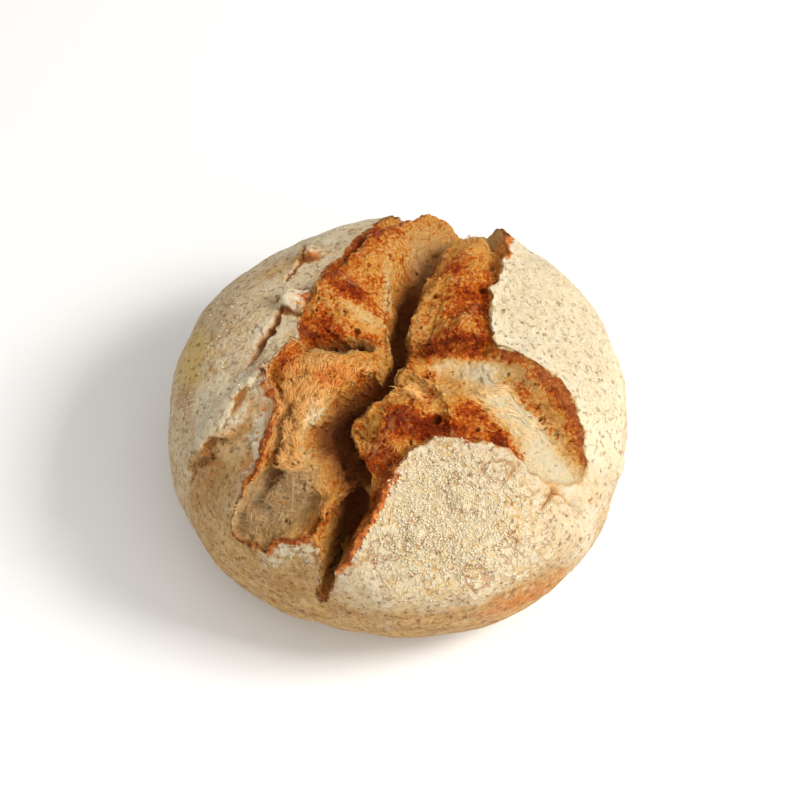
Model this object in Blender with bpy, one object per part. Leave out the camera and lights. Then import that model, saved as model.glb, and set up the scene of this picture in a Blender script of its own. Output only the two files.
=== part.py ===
"""A crusty wheat roll: one closed solid with its crust plates, torn crumb and cracks as relief.

Run with: blender --background --python part.py

The roll stands on its flat base with +Z up, its origin under the middle of its bounding box.
Sizes are in millimetres, and the mesh is scaled to metres when it is made.

The crust is laid out flat on a "crust map". A map point (u, v) lies u mm to the right and v mm to
the back of the crown, measured over the crust. The front of the roll is at -Y, so the front rim of
the crust is at negative v. Each crack and crust edge is a short list of such points.
"""

import math

import bmesh
import bpy
import numpy as np

MM = 0.001
NODE_NAME = "wheat_roll"

# The plain dome, before anything is torn.
HALF_WIDTH = 52.0
WIDEST_LEVEL = 25.0
CROWN_RISE = 30.0
UNDER_DROP = 31.0
CROWN_SQUARENESS = 2.6
UNDER_SQUARENESS = 2.4
PLAN_LOBES = ((2, 0.008, 20.0), (3, 0.010, 75.0), (5, 0.006, 10.0))  # waves, share of radius, degrees

# The faces of the mesh, packed more closely on the crown than underneath.
CELLS_PER_SIDE = 31
CROWN_CROWDING = 0.36
SETTLING_ROUNDS = 40
SETTLING_PACE = 0.5

# The crust edges round the tear, in order round it: (u, v, lift of the edge, lean over the crumb,
# width of the broken face that runs down to the crumb).
LEFT_EDGE = (
    (11.0, 83.0, 0.0, 0.0, 2.0),
    (3.0, 73.0, 0.5, 0.0, 1.5),
    (-3.0, 61.0, 0.8, 0.0, 1.2),
    (-12.0, 49.5, 1.0, 0.0, 1.0),
    (-18.0, 42.5, 1.0, 0.2, 1.0),
    (-22.8, 35.5, 1.4, 0.3, 1.0),
    (-26.2, 28.2, 1.4, 0.4, 1.0),
    (-28.6, 20.5, 1.2, 0.4, 1.0),
    (-32.0, 13.4, 1.4, 0.5, 1.0),
    (-34.6, 4.0, 1.5, 0.5, 1.0),
    (-37.8, -1.9, 2.4, 0.6, 1.0),
    (-40.8, -7.0, 2.6, 0.6, 1.0),
    (-39.6, -13.0, 2.4, 0.8, 1.0),
    (-37.4, -20.0, 2.8, 1.0, 1.0),
    (-38.4, -29.6, 3.6, 1.6, 1.0),
    (-40.4, -36.2, 4.0, 1.6, 1.0),
    (-43.0, -41.6, 3.4, 1.2, 1.0),
    (-46.6, -46.8, 2.4, 0.7, 1.0),
    (-48.6, -50.4, 1.0, 0.2, 1.2),
)
SMALL_FLAP_EDGE = (
    (-45.0, -54.0, 0.2, 0.0, 1.8),
    (-39.1, -55.6, 1.4, 0.3, 1.0),
    (-31.1, -53.9, 2.2, 0.6, 1.0),
    (-25.2, -54.6, 2.2, 0.5, 1.0),
    (-22.9, -58.5, 1.8, 0.0, 1.2),
    (-22.6, -64.0, 1.2, 0.0, 1.2),
    (-25.0, -71.0, 0.5, 0.0, 1.0),
)
FRONT_EDGE = (
    (-26.5, -76.5, 0.0, 0.0, 1.0),
    (-19.5, -68.0, 1.0, 0.2, 1.2),
    (-14.7, -61.5, 2.6, 0.6, 1.2),
    (-11.6, -56.5, 3.6, 0.8, 1.2),
    (-7.0, -52.4, 4.0, 0.9, 1.2),
    (-3.6, -47.6, 3.8, 0.8, 1.2),
    (-1.1, -42.4, 3.0, 0.5, 1.2),
    (2.4, -38.2, 1.8, 0.2, 1.4),
    (8.0, -35.4, 1.4, 0.0, 1.4),
    (17.0, -33.4, 1.4, 0.0, 1.4),
    (25.6, -32.8, 1.4, 0.0, 1.4),
    (32.6, -33.6, 1.2, 0.0, 1.4),
    (38.2, -38.6, 0.8, 0.0, 1.4),
    (46.0, -40.0, 0.3, 0.0, 1.6),
)
RIGHT_EDGE = (
    (54.4, -35.6, 0.2, 0.0, 1.6),
    (53.4, -29.6, 1.4, 0.0, 2.6),
    (52.4, -22.6, 2.2, 0.0, 3.8),
    (49.6, -14.4, 2.8, 0.0, 4.4),
    (44.8, -7.4, 2.8, 0.0, 4.4),
    (38.6, -2.6, 2.4, 0.2, 3.2),
    (32.0, 0.6, 2.0, 0.4, 1.2),
    (31.2, 8.1, 2.2, 0.5, 1.0),
    (30.4, 17.0, 2.0, 0.4, 1.0),
    (29.2, 23.0, 2.4, 0.4, 1.0),
    (31.5, 30.0, 3.4, 0.5, 1.2),
    (32.0, 40.0, 3.4, 0.5, 1.6),
    (31.6, 51.0, 2.6, 0.3, 2.0),
    (31.0, 60.0, 1.6, 0.0, 2.0),
    (28.0, 72.0, 0.6, 0.0, 2.0),
    (19.0, 82.0, 0.0, 0.0, 2.0),
)
LIFT_REACH = 7.0
LEAN_REACH = 6.0

# A swelling's top is broader, and its side steeper, with a higher power.
SWELLING_POWER = 1.4

# Swellings of the torn crumb: (u, v, half length, half width, degrees of the long axis, height).
CRUMB_LEVEL = -3.4
CRUMB_SWELLINGS = (
    (-5.0, 46.5, 24.0, 8.0, 40.0, 4.8),
    (-24.0, 21.0, 15.0, 12.0, 40.0, 5.0),
    (-28.0, -7.0, 15.0, 10.0, 5.0, 4.4),
    (-32.0, -27.0, 9.5, 15.0, 0.0, 5.0),
    (11.0, 64.0, 9.5, 4.5, 15.0, 2.9),
    (23.0, 23.0, 12.5, 20.0, 0.0, 4.9),
    (24.5, 47.0, 7.0, 11.0, 0.0, 3.0),
    (25.0, 8.0, 10.0, 9.0, 0.0, 1.8),
    (16.0, -23.0, 17.0, 9.0, 6.0, 4.2),
    (-2.0, -32.0, 10.0, 9.0, 55.0, 4.6),
    (35.0, -29.0, 14.0, 7.0, 16.0, 2.6),
    (47.0, -36.5, 10.0, 5.5, 15.0, 2.6),
    (-17.5, -50.5, 8.0, 2.4, 12.0, 4.6),
    (-42.0, -50.0, 9.0, 6.0, 15.0, 2.8),
    (-32.0, -46.0, 6.0, 4.5, 15.0, -1.4),
)

# Rifts in the crumb and cracks in the crust: points of (u, v, half width, depth). The shoulders of
# a rift are rounder, and its floor sharper, with a lower power.
RIFT_POWER = 0.8
RIFT_FLOOR = 0.14
MAIN_RIFT = (
    (26.0, 65.0, 4.0, 0.4),
    (20.0, 60.0, 6.0, 2.4),
    (14.5, 56.0, 6.5, 4.0),
    (10.0, 50.0, 6.5, 5.0),
    (6.0, 42.5, 6.4, 7.5),
    (3.6, 35.0, 6.0, 8.5),
    (1.5, 27.0, 5.5, 7.5),
    (-0.5, 19.0, 4.5, 7.0),
    (0.0, 7.3, 4.0, 6.5),
    (-0.5, -4.0, 4.0, 6.0),
    (-5.0, -13.8, 5.0, 6.5),
    (-13.5, -17.5, 6.0, 7.5),
    (-21.4, -24.0, 6.8, 9.0),
    (-24.8, -32.0, 7.0, 11.0),
    (-20.8, -41.0, 5.6, 8.0),
    (-15.4, -48.0, 7.5, 8.0),
    (-16.4, -57.0, 6.5, 9.0),
    (-20.0, -66.0, 4.2, 7.0),
    (-26.0, -75.0, 1.8, 2.4),
)
SLIT = (
    (-38.0, 5.0, 1.0, 0.8),
    (-33.0, 5.2, 1.5, 3.0),
    (-25.0, 6.2, 1.7, 3.8),
    (-17.0, 5.4, 1.5, 3.4),
    (-11.5, 3.6, 1.0, 0.8),
)
CRESCENT_TRENCH = (
    (34.0, -6.0, 3.0, 1.5),
    (39.0, -10.0, 3.6, 3.0),
    (43.5, -17.0, 3.4, 3.0),
    (48.0, -25.0, 2.6, 2.4),
)
POCKET = (
    (-42.0, -47.0, 3.0, 1.0),
    (-37.0, -50.5, 3.8, 2.4),
    (-29.0, -50.0, 3.6, 2.4),
)
LIP_CREVICE = (
    (-35.4, -20.0, 1.6, 1.2),
    (-36.0, -30.0, 2.0, 2.6),
    (-38.6, -40.0, 2.4, 3.0),
    (-41.5, -45.0, 2.0, 1.2),
)
CRUST_GROOVE = (
    (-37.4, 15.4, 1.2, 1.2),
    (-40.6, 10.0, 1.7, 2.8),
    (-43.4, 4.0, 1.6, 2.6),
    (-46.0, -3.0, 1.2, 0.8),
)
MIDDLE_DIP = (
    (5.0, -12.0, 3.6, 1.4),
    (10.0, -20.0, 4.6, 2.4),
    (13.5, -28.0, 3.6, 1.6),
)
SIDE_RIFTS = (SLIT, CRESCENT_TRENCH, POCKET, LIP_CREVICE, CRUST_GROOVE, MIDDLE_DIP)

# Steps: points of (u, v, reach, height). The left side of the line, from its first point to its
# last, stands higher, by that height at the line and less further off.
CRUMB_STEPS = (
    ((-38.0, 5.2, 2.0, 0.4), (-29.0, 6.0, 5.0, 1.5), (-20.0, 6.2, 5.0, 1.5), (-12.0, 4.2, 2.0, 0.4)),
    ((1.0, 3.5, 3.0, 0.5), (9.0, 0.2, 9.0, 3.4), (18.0, -0.4, 12.0, 4.4), (26.0, -0.4, 10.0, 4.8),
     (33.5, 1.8, 6.0, 2.4)),
)
CRUST_STEPS = (
    ((-48.4, -20.5, 3.0, 0.4), (-47.6, -16.5, 4.0, 1.1), (-45.0, -12.9, 4.0, 1.1),
     (-41.0, -8.0, 3.0, 0.4)),
    ((-59.8, -29.0, 3.0, 0.8), (-53.4, -28.0, 5.0, 1.7), (-51.3, -24.8, 5.0, 1.7),
     (-45.5, -24.0, 3.0, 0.6)),
    ((50.0, -42.5, 3.0, 0.4), (43.0, -40.6, 3.0, 1.2), (40.0, -45.0, 3.0, 0.4)),
)
STEP_FACE = 1.0

# Lumps and blisters of the crust: (u, v, half length, half width, degrees of the long axis, height).
CRUST_SWELLINGS = (
    (-33.8, 18.6, 5.0, 3.0, 58.0, 3.4),
    (-28.4, 41.4, 3.8, 2.6, 20.0, 2.8),
    (-58.9, -25.0, 5.0, 3.0, 30.0, 1.4),
    (-52.0, -20.0, 9.0, 5.0, 60.0, 1.2),
    (54.0, -41.5, 3.2, 1.8, 60.0, 1.6),
    (67.5, -24.0, 4.0, 3.4, 90.0, 1.5),
    (18.3, -48.3, 3.0, 2.6, 0.0, 1.0),
    (5.5, -57.5, 3.2, 2.0, 20.0, 0.9),
    (44.0, 28.0, 14.0, 10.0, 60.0, 0.8),
    (8.0, -72.0, 24.0, 5.0, 0.0, 0.8),
    (-62.0, 30.0, 12.0, 6.0, 70.0, 0.8),
    (-30.0, 70.0, 14.0, 8.0, 20.0, 0.8),
    (52.0, 52.0, 9.0, 5.0, 40.0, 0.9),
)

# Slow unevenness of the skin: (feature size, height) for crust and crumb, and the wander of edges.
# Each reads the noise at a shift of its own, so that they don't rise and fall together.
CRUST_WAVES = ((22.0, 0.9), (9.0, 0.5))
CRUMB_WAVES = ((12.0, 1.8), (5.0, 1.1))
EDGE_WANDER = ((9.0, 1.3), (3.6, 0.8))
CRUST_SHIFT = 9.0
CRUMB_SHIFT = 5.0
WANDER_SHIFTS = (20.0, 40.0)
NOISE_TABLE_SIZE = 256
NOISE_SEED = 11
NOISE_GAIN = 1.6


def smooth_step(value, low, high):
    """0 below low, 1 above high, and a smooth rise between."""
    t = np.clip((value - low) / (high - low), 0.0, 1.0)
    return t * t * (3.0 - 2.0 * t)


def noise_tables():
    """Shuffled indices and random unit gradients for gradient_noise."""
    draw = np.random.default_rng(NOISE_SEED)
    order = draw.permutation(NOISE_TABLE_SIZE)
    gradients = draw.normal(size=(NOISE_TABLE_SIZE, 3))
    return order, gradients / np.linalg.norm(gradients, axis=1, keepdims=True)


ORDER, GRADIENTS = noise_tables()


def gradient_noise(points, feature_size, shift):
    """Smooth noise of about -1 to 1 at 3-D points, whose bumps are feature_size across."""
    scaled = points / feature_size + shift
    cell = np.floor(scaled).astype(int)
    inside = scaled - cell
    blend = inside**3 * (inside * (inside * 6.0 - 15.0) + 10.0)
    total = np.zeros(len(points))
    for corner in np.ndindex(2, 2, 2):
        x, y, z = ((cell + corner) % NOISE_TABLE_SIZE).T
        picked = ORDER[(ORDER[(ORDER[x] + y) % NOISE_TABLE_SIZE] + z) % NOISE_TABLE_SIZE]
        reach = np.einsum("ij,ij->i", GRADIENTS[picked], inside - corner)
        share = np.where(corner, blend, 1.0 - blend).prod(axis=1)
        total += reach * share
    return total * NOISE_GAIN


def waves(points, layers, shift):
    """The sum of noise layers, each of (feature size, height)."""
    noises = [height * gradient_noise(points, size, shift + i) for i, (size, height) in enumerate(layers)]
    return sum(noises)


def plain_radius(directions):
    """Distance from the heart of the roll to the plain dome along unit directions."""
    level = directions[:, 2]
    around = np.hypot(directions[:, 0], directions[:, 1])
    azimuth = np.arctan2(directions[:, 1], directions[:, 0])
    lobes = 1.0 + sum(share * np.cos(n * (azimuth - math.radians(at))) for n, share, at in PLAN_LOBES)
    above = level >= 0.0
    depth = np.where(above, CROWN_RISE, UNDER_DROP)
    power = np.where(above, CROWN_SQUARENESS, UNDER_SQUARENESS)
    return ((around / (HALF_WIDTH * lobes)) ** power + (np.abs(level) / depth) ** power) ** (-1.0 / power)


def to_map(directions):
    """The crust map's (u, v) of unit directions from the heart."""
    around = np.hypot(directions[:, 0], directions[:, 1])
    over_crust = HALF_WIDTH * np.arctan2(around, directions[:, 2])
    return directions[:, :2] * (over_crust / np.maximum(around, 1e-9))[:, None]


def from_map(uv):
    """Unit directions of crust map points."""
    over_crust = np.maximum(np.hypot(uv[:, 0], uv[:, 1]), 1e-9)
    angle = over_crust / HALF_WIDTH
    flat = uv * (np.sin(angle) / over_crust)[:, None]
    return np.column_stack([flat, np.cos(angle)])


def nearest_on_path(uv, path):
    """For map points: the vector from the path's nearest point, with its other values and its run."""
    path = np.asarray(path, float)
    start, run = path[:-1], np.diff(path, axis=0)
    length2 = np.maximum((run[:, :2] ** 2).sum(axis=1), 1e-12)
    offset = uv[:, None, :] - start[None, :, :2]
    along = np.clip(np.einsum("pse,se->ps", offset, run[:, :2]) / length2, 0.0, 1.0)
    apart = offset - along[:, :, None] * run[None, :, :2]
    nearest = (apart**2).sum(axis=2).argmin(axis=1)
    rows = np.arange(len(uv))
    values = start[nearest] + along[rows, nearest, None] * run[nearest]
    return apart[rows, nearest], values[:, 2:], run[nearest, :2]


def inside_outline(uv, outline):
    """True for map points inside a closed outline."""
    x, y = uv[:, 0, None], uv[:, 1, None]
    x0, y0 = outline[:, 0], outline[:, 1]
    x1, y1 = np.roll(x0, -1), np.roll(y0, -1)
    slope = (x1 - x0) / np.where(y1 == y0, 1e-12, y1 - y0)
    crossed = ((y0 > y) != (y1 > y)) & (x < x0 + (y - y0) * slope)
    return crossed.sum(axis=1) % 2 == 1


def tear_outline():
    """The closed outline of the torn crumb, from its four crust edges."""
    return np.array(LEFT_EDGE + SMALL_FLAP_EDGE + FRONT_EDGE + RIGHT_EDGE)


def tear_edge(uv):
    """Distance into the crust from the tear's edge, below 0 in the tear, the edge's values, the way in."""
    outline = tear_outline()
    apart, values, _ = nearest_on_path(uv, np.vstack([outline, outline[:1]]))
    distance = np.hypot(apart[:, 0], apart[:, 1])
    side = np.where(inside_outline(uv, outline), -1.0, 1.0)
    towards_tear = -apart * (side / np.maximum(distance, 1e-6))[:, None]
    return side * distance, values.T, towards_tear


def swelling_height(uv, swellings):
    """The height of soft round swellings, each of (u, v, half length, half width, degrees, height)."""
    total = np.zeros(len(uv))
    for u, v, half_length, half_width, degrees, height in swellings:
        turn = math.radians(degrees)
        offset = uv - (u, v)
        long_way = (offset @ (math.cos(turn), math.sin(turn))) / half_length
        short_way = (offset @ (-math.sin(turn), math.cos(turn))) / half_width
        total += height * np.exp(-((long_way**2 + short_way**2) ** SWELLING_POWER))
    return total


def rift_depth(uv, path):
    """The depth of a rift with soft shoulders along a path of (u, v, half width, depth)."""
    apart, values, _ = nearest_on_path(uv, path)
    share = np.hypot(apart[:, 0], apart[:, 1]) / values[:, 0]
    return values[:, 1] * (1.0 - smooth_step(share, RIFT_FLOOR, 1.0)) ** RIFT_POWER


def step_height(uv, path):
    """The height of a step along a path of (u, v, reach, height), raised on the path's left."""
    apart, values, run = nearest_on_path(uv, path)
    side = np.sign(run[:, 0] * apart[:, 1] - run[:, 1] * apart[:, 0])
    distance = np.hypot(apart[:, 0], apart[:, 1])
    face = smooth_step(side * distance, -STEP_FACE / 2.0, STEP_FACE / 2.0)
    return face * values[:, 1] * np.exp(-((distance / values[:, 0]) ** 2))


def crumb_height(uv, places):
    """The torn crumb's height over the plain dome."""
    height = CRUMB_LEVEL + swelling_height(uv, CRUMB_SWELLINGS) + waves(places, CRUMB_WAVES, CRUMB_SHIFT)
    height += sum(step_height(uv, path) for path in CRUMB_STEPS)
    return height - rift_depth(uv, MAIN_RIFT)


def crust_height(uv, places, distance, lift):
    """The crust's height over the plain dome, lifted beside the tear."""
    height = lift * np.exp(-np.maximum(distance, 0.0) / LIFT_REACH) + waves(places, CRUST_WAVES, CRUST_SHIFT)
    height += swelling_height(uv, CRUST_SWELLINGS)
    return height + sum(step_height(uv, path) for path in CRUST_STEPS)


def skin(directions):
    """The roll's skin, as points from its heart, for unit directions."""
    plain = directions * plain_radius(directions)[:, None]
    wander = np.column_stack([waves(plain, EDGE_WANDER, shift) for shift in WANDER_SHIFTS])
    uv = to_map(directions)
    seen = uv + wander
    distance, (lift, lean, face), towards_tear = tear_edge(seen)
    on_crust = smooth_step(distance, -face, 0.0)
    height = on_crust * crust_height(seen, plain, distance, lift)
    height += (1.0 - on_crust) * crumb_height(seen, plain)
    height -= sum(rift_depth(seen, path) for path in SIDE_RIFTS)
    lean_here = lean * on_crust * np.exp(-np.maximum(distance, 0.0) / LEAN_REACH)
    leaned = from_map(uv + towards_tear * lean_here[:, None])
    points = leaned * (plain_radius(leaned) + height)[:, None]
    return flattened(points)


def flattened(points):
    """The skin with everything below the base plane drawn up to it along the line from the heart."""
    depth = -points[:, 2]
    shrink = np.where(depth > WIDEST_LEVEL, WIDEST_LEVEL / np.maximum(depth, 1e-9), 1.0)
    return points * shrink[:, None]


def ball_of_squares(cells):
    """A cube whose sides are cut into cells x cells squares, as a bmesh, to be blown up into the roll."""
    ball = bmesh.new()
    bmesh.ops.create_cube(ball, size=2.0)
    bmesh.ops.subdivide_edges(ball, edges=ball.edges, cuts=cells - 1, use_grid_fill=True)
    return ball


def spread_directions(corners):
    """Even unit directions for the cube's points, crowded towards the crown."""
    eased = np.tan(corners * (math.pi / 4.0))
    directions = eased / np.linalg.norm(eased, axis=1, keepdims=True)
    angle = np.arccos(np.clip(directions[:, 2], -1.0, 1.0))
    angle -= CROWN_CROWDING * np.sin(angle)
    around = directions[:, :2] / np.maximum(np.hypot(directions[:, 0], directions[:, 1]), 1e-9)[:, None]
    return np.column_stack([around * np.sin(angle)[:, None], np.cos(angle)])


def settled(directions, edges, rounds):
    """Directions moved along the skin until its mesh edges are of like length, also down steep walls."""
    first, second = edges.T
    count = len(directions)
    for _ in range(rounds):
        points = skin(directions)
        gap = np.linalg.norm(directions[first] - directions[second], axis=1)
        stretch = np.linalg.norm(points[first] - points[second], axis=1) / np.maximum(gap, 1e-9)
        total = np.bincount(first, stretch, count) + np.bincount(second, stretch, count)
        drawn = [
            np.bincount(first, stretch * directions[second, axis], count)
            + np.bincount(second, stretch * directions[first, axis], count)
            for axis in range(3)
        ]
        middle = np.column_stack(drawn) / total[:, None]
        directions = directions + SETTLING_PACE * (middle - directions)
        directions /= np.linalg.norm(directions, axis=1, keepdims=True)
    return directions


def stood_on_base(points):
    """Points moved so that the middle of the bounding box's floor is the origin."""
    low, high = points.min(axis=0), points.max(axis=0)
    return points - ((low[0] + high[0]) / 2.0, (low[1] + high[1]) / 2.0, low[2])


def roll_mesh(cells):
    """The roll's mesh in metres."""
    ball = ball_of_squares(cells)
    corners = np.array([v.co for v in ball.verts])
    edges = np.array([[v.index for v in e.verts] for e in ball.edges])
    directions = settled(spread_directions(corners), edges, SETTLING_ROUNDS)
    for vert, point in zip(ball.verts, stood_on_base(skin(directions)) * MM):
        vert.co = point
    bmesh.ops.triangulate(ball, faces=ball.faces, quad_method="SHORT_EDGE")
    bmesh.ops.recalc_face_normals(ball, faces=ball.faces)
    mesh = bpy.data.meshes.new(NODE_NAME)
    ball.to_mesh(mesh)
    ball.free()
    mesh.shade_smooth()
    return mesh


def crust_material():
    """Matt baked crust."""
    material = bpy.data.materials.new("baked_crust")
    material.use_nodes = True
    shader = material.node_tree.nodes["Principled BSDF"]
    shader.inputs["Base Color"].default_value = (0.72, 0.50, 0.27, 1.0)
    shader.inputs["Roughness"].default_value = 0.85
    shader.inputs["Metallic"].default_value = 0.0
    return material


def main():
    for old in list(bpy.data.objects):
        bpy.data.objects.remove(old, do_unlink=True)
    roll = bpy.data.objects.new(NODE_NAME, roll_mesh(CELLS_PER_SIDE))
    roll.data.materials.append(crust_material())
    bpy.context.scene.collection.objects.link(roll)


main()
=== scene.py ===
"""Looks of a crusty wheat roll: floured crust plates round a torn, browned crumb.

The roll's skin is made again here, finer than the solid that it stands for and with the same sizes,
and gets its grain, pores, strands of crumb and grains of flour. Sizes are in millimetres, apart from
the lights', and are scaled to metres where they are used.

A point of the "crust map" (u, v) lies u mm to the right and v mm to the back of the crown, measured
over the crust. The front of the roll is at -Y, so the front rim of the crust is at negative v.
"""

import math

import bmesh
import bpy
import numpy as np
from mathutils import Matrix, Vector


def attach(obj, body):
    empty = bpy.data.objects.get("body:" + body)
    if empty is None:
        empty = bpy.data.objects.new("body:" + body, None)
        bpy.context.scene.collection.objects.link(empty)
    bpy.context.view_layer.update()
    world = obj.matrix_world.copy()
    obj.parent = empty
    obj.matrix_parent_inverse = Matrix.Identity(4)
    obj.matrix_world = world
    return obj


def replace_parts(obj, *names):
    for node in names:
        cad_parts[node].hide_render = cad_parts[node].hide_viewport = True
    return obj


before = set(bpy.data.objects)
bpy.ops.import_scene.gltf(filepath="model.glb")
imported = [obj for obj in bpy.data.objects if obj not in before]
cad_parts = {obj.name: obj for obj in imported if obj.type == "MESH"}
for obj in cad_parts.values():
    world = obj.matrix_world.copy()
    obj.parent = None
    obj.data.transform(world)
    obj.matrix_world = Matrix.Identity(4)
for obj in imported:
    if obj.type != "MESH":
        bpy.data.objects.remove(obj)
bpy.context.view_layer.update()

MM = 0.001
NODE_NAME = "wheat_roll"
BODY_NAME = "root"

# The plain dome, before anything is torn.
HALF_WIDTH = 52.0
WIDEST_LEVEL = 25.0
CROWN_RISE = 30.0
UNDER_DROP = 31.0
CROWN_SQUARENESS = 2.6
UNDER_SQUARENESS = 2.4
PLAN_LOBES = ((2, 0.008, 20.0), (3, 0.010, 75.0), (5, 0.006, 10.0))  # waves, share of radius, degrees

# The mesh is settled at half its final fineness, then halved and settled a little more.
COARSE_CELLS_PER_SIDE = 64
CROWN_CROWDING = 0.42
COARSE_ROUNDS = 30
FINE_ROUNDS = 5
SETTLING_PACE = 0.5

# The crust edges round the tear, in order round it: (u, v, lift of the edge, lean over the crumb,
# width of the broken face that runs down to the crumb).
LEFT_EDGE = (
    (11, 83, 0, 0, 2),
    (3, 73, 0.5, 0, 1.5),
    (-3, 61, 0.8, 0, 1.2),
    (-12, 49.5, 1, 0, 1),
    (-18, 42.5, 1, 0.2, 1),
    (-22.8, 35.5, 1.4, 0.3, 1),
    (-26.2, 28.2, 1.4, 0.4, 1),
    (-28.6, 20.5, 1.2, 0.4, 1),
    (-32, 13.4, 1.4, 0.5, 1),
    (-34.6, 4, 1.5, 0.5, 1),
    (-37.8, -1.9, 2.4, 0.6, 1),
    (-40.8, -7, 2.6, 0.6, 1),
    (-39.6, -13, 2.4, 0.8, 1),
    (-37.4, -20, 2.8, 1, 1),
    (-38.4, -29.6, 3.6, 1.6, 1),
    (-40.4, -36.2, 4, 1.6, 1),
    (-43, -41.6, 3.4, 1.2, 1),
    (-46.6, -46.8, 2.4, 0.7, 1),
    (-48.6, -50.4, 1, 0.2, 1.2),
)
SMALL_FLAP_EDGE = (
    (-45, -54, 0.2, 0, 1.8),
    (-39.1, -55.6, 1.4, 0.3, 1),
    (-31.1, -53.9, 2.2, 0.6, 1),
    (-25.2, -54.6, 2.2, 0.5, 1),
    (-22.9, -58.5, 1.8, 0, 1.2),
    (-22.6, -64, 1.2, 0, 1.2),
    (-25, -71, 0.5, 0, 1),
)
FRONT_EDGE = (
    (-26.5, -76.5, 0, 0, 1),
    (-19.5, -68, 1, 0.2, 1.2),
    (-14.7, -61.5, 2.6, 0.6, 1.2),
    (-11.6, -56.5, 3.6, 0.8, 1.2),
    (-7, -52.4, 4, 0.9, 1.2),
    (-3.6, -47.6, 3.8, 0.8, 1.2),
    (-1.1, -42.4, 3, 0.5, 1.2),
    (2.4, -38.2, 1.8, 0.2, 1.4),
    (8, -35.4, 1.4, 0, 1.4),
    (17, -33.4, 1.4, 0, 1.4),
    (25.6, -32.8, 1.4, 0, 1.4),
    (32.6, -33.6, 1.2, 0, 1.4),
    (38.2, -38.6, 0.8, 0, 1.4),
    (46, -40, 0.3, 0, 1.6),
)
RIGHT_EDGE = (
    (54.4, -35.6, 0.2, 0, 1.6),
    (53.4, -29.6, 1.4, 0, 2.6),
    (52.4, -22.6, 2.2, 0, 3.8),
    (49.6, -14.4, 2.8, 0, 4.4),
    (44.8, -7.4, 2.8, 0, 4.4),
    (38.6, -2.6, 2.4, 0.2, 3.2),
    (32, 0.6, 2, 0.4, 1.2),
    (31.2, 8.1, 2.2, 0.5, 1),
    (30.4, 17, 2, 0.4, 1),
    (29.2, 23, 2.4, 0.4, 1),
    (31.5, 30, 3.4, 0.5, 1.2),
    (32, 40, 3.4, 0.5, 1.6),
    (31.6, 51, 2.6, 0.3, 2),
    (31, 60, 1.6, 0, 2),
    (28, 72, 0.6, 0, 2),
    (19, 82, 0, 0, 2),
)
LIFT_REACH = 7.0
LEAN_REACH = 6.0

# A swelling's top is broader, and its side steeper, with a higher power.
SWELLING_POWER = 1.4

# Swellings of the torn crumb: (u, v, half length, half width, degrees of the long axis, height).
CRUMB_LEVEL = -3.4
CRUMB_SWELLINGS = (
    (-5, 46.5, 24, 8, 40, 4.8),
    (-24, 21, 15, 12, 40, 5),
    (-28, -7, 15, 10, 5, 4.4),
    (-32, -27, 9.5, 15, 0, 5),
    (11, 64, 9.5, 4.5, 15, 2.9),
    (23, 23, 12.5, 20, 0, 4.9),
    (24.5, 47, 7, 11, 0, 3),
    (25, 8, 10, 9, 0, 1.8),
    (16, -23, 17, 9, 6, 4.2),
    (-2, -32, 10, 9, 55, 4.6),
    (35, -29, 14, 7, 16, 2.6),
    (47, -36.5, 10, 5.5, 15, 2.6),
    (-17.5, -50.5, 8, 2.4, 12, 4.6),
    (-42, -50, 9, 6, 15, 2.8),
    (-32, -46, 6, 4.5, 15, -1.4),
)

# Rifts in the crumb and cracks in the crust: points of (u, v, half width, depth). The shoulders of
# a rift are rounder, and its floor sharper, with a lower power.
RIFT_POWER = 0.8
RIFT_FLOOR = 0.14
MAIN_RIFT = (
    (26, 65, 4, 0.4),
    (20, 60, 6, 2.4),
    (14.5, 56, 6.5, 4),
    (10, 50, 6.5, 5),
    (6, 42.5, 6.4, 7.5),
    (3.6, 35, 6, 8.5),
    (1.5, 27, 5.5, 7.5),
    (-0.5, 19, 4.5, 7),
    (0, 7.3, 4, 6.5),
    (-0.5, -4, 4, 6),
    (-5, -13.8, 5, 6.5),
    (-13.5, -17.5, 6, 7.5),
    (-21.4, -24, 6.8, 9),
    (-24.8, -32, 7, 11),
    (-20.8, -41, 5.6, 8),
    (-15.4, -48, 7.5, 8),
    (-16.4, -57, 6.5, 9),
    (-20, -66, 4.2, 7),
    (-26, -75, 1.8, 2.4),
)
SLIT = (
    (-38, 5, 1, 0.8),
    (-33, 5.2, 1.5, 3),
    (-25, 6.2, 1.7, 3.8),
    (-17, 5.4, 1.5, 3.4),
    (-11.5, 3.6, 1, 0.8),
)
CRESCENT_TRENCH = (
    (34, -6, 3, 1.5),
    (39, -10, 3.6, 3),
    (43.5, -17, 3.4, 3),
    (48, -25, 2.6, 2.4),
)
POCKET = (
    (-42, -47, 3, 1),
    (-37, -50.5, 3.8, 2.4),
    (-29, -50, 3.6, 2.4),
)
LIP_CREVICE = (
    (-35.4, -20, 1.6, 1.2),
    (-36, -30, 2, 2.6),
    (-38.6, -40, 2.4, 3),
    (-41.5, -45, 2, 1.2),
)
CRUST_GROOVE = (
    (-37.4, 15.4, 1.2, 1.2),
    (-40.6, 10, 1.7, 2.8),
    (-43.4, 4, 1.6, 2.6),
    (-46, -3, 1.2, 0.8),
)
MIDDLE_DIP = (
    (5, -12, 3.6, 1.4),
    (10, -20, 4.6, 2.4),
    (13.5, -28, 3.6, 1.6),
)
SIDE_RIFTS = (SLIT, CRESCENT_TRENCH, POCKET, LIP_CREVICE, CRUST_GROOVE, MIDDLE_DIP)

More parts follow.
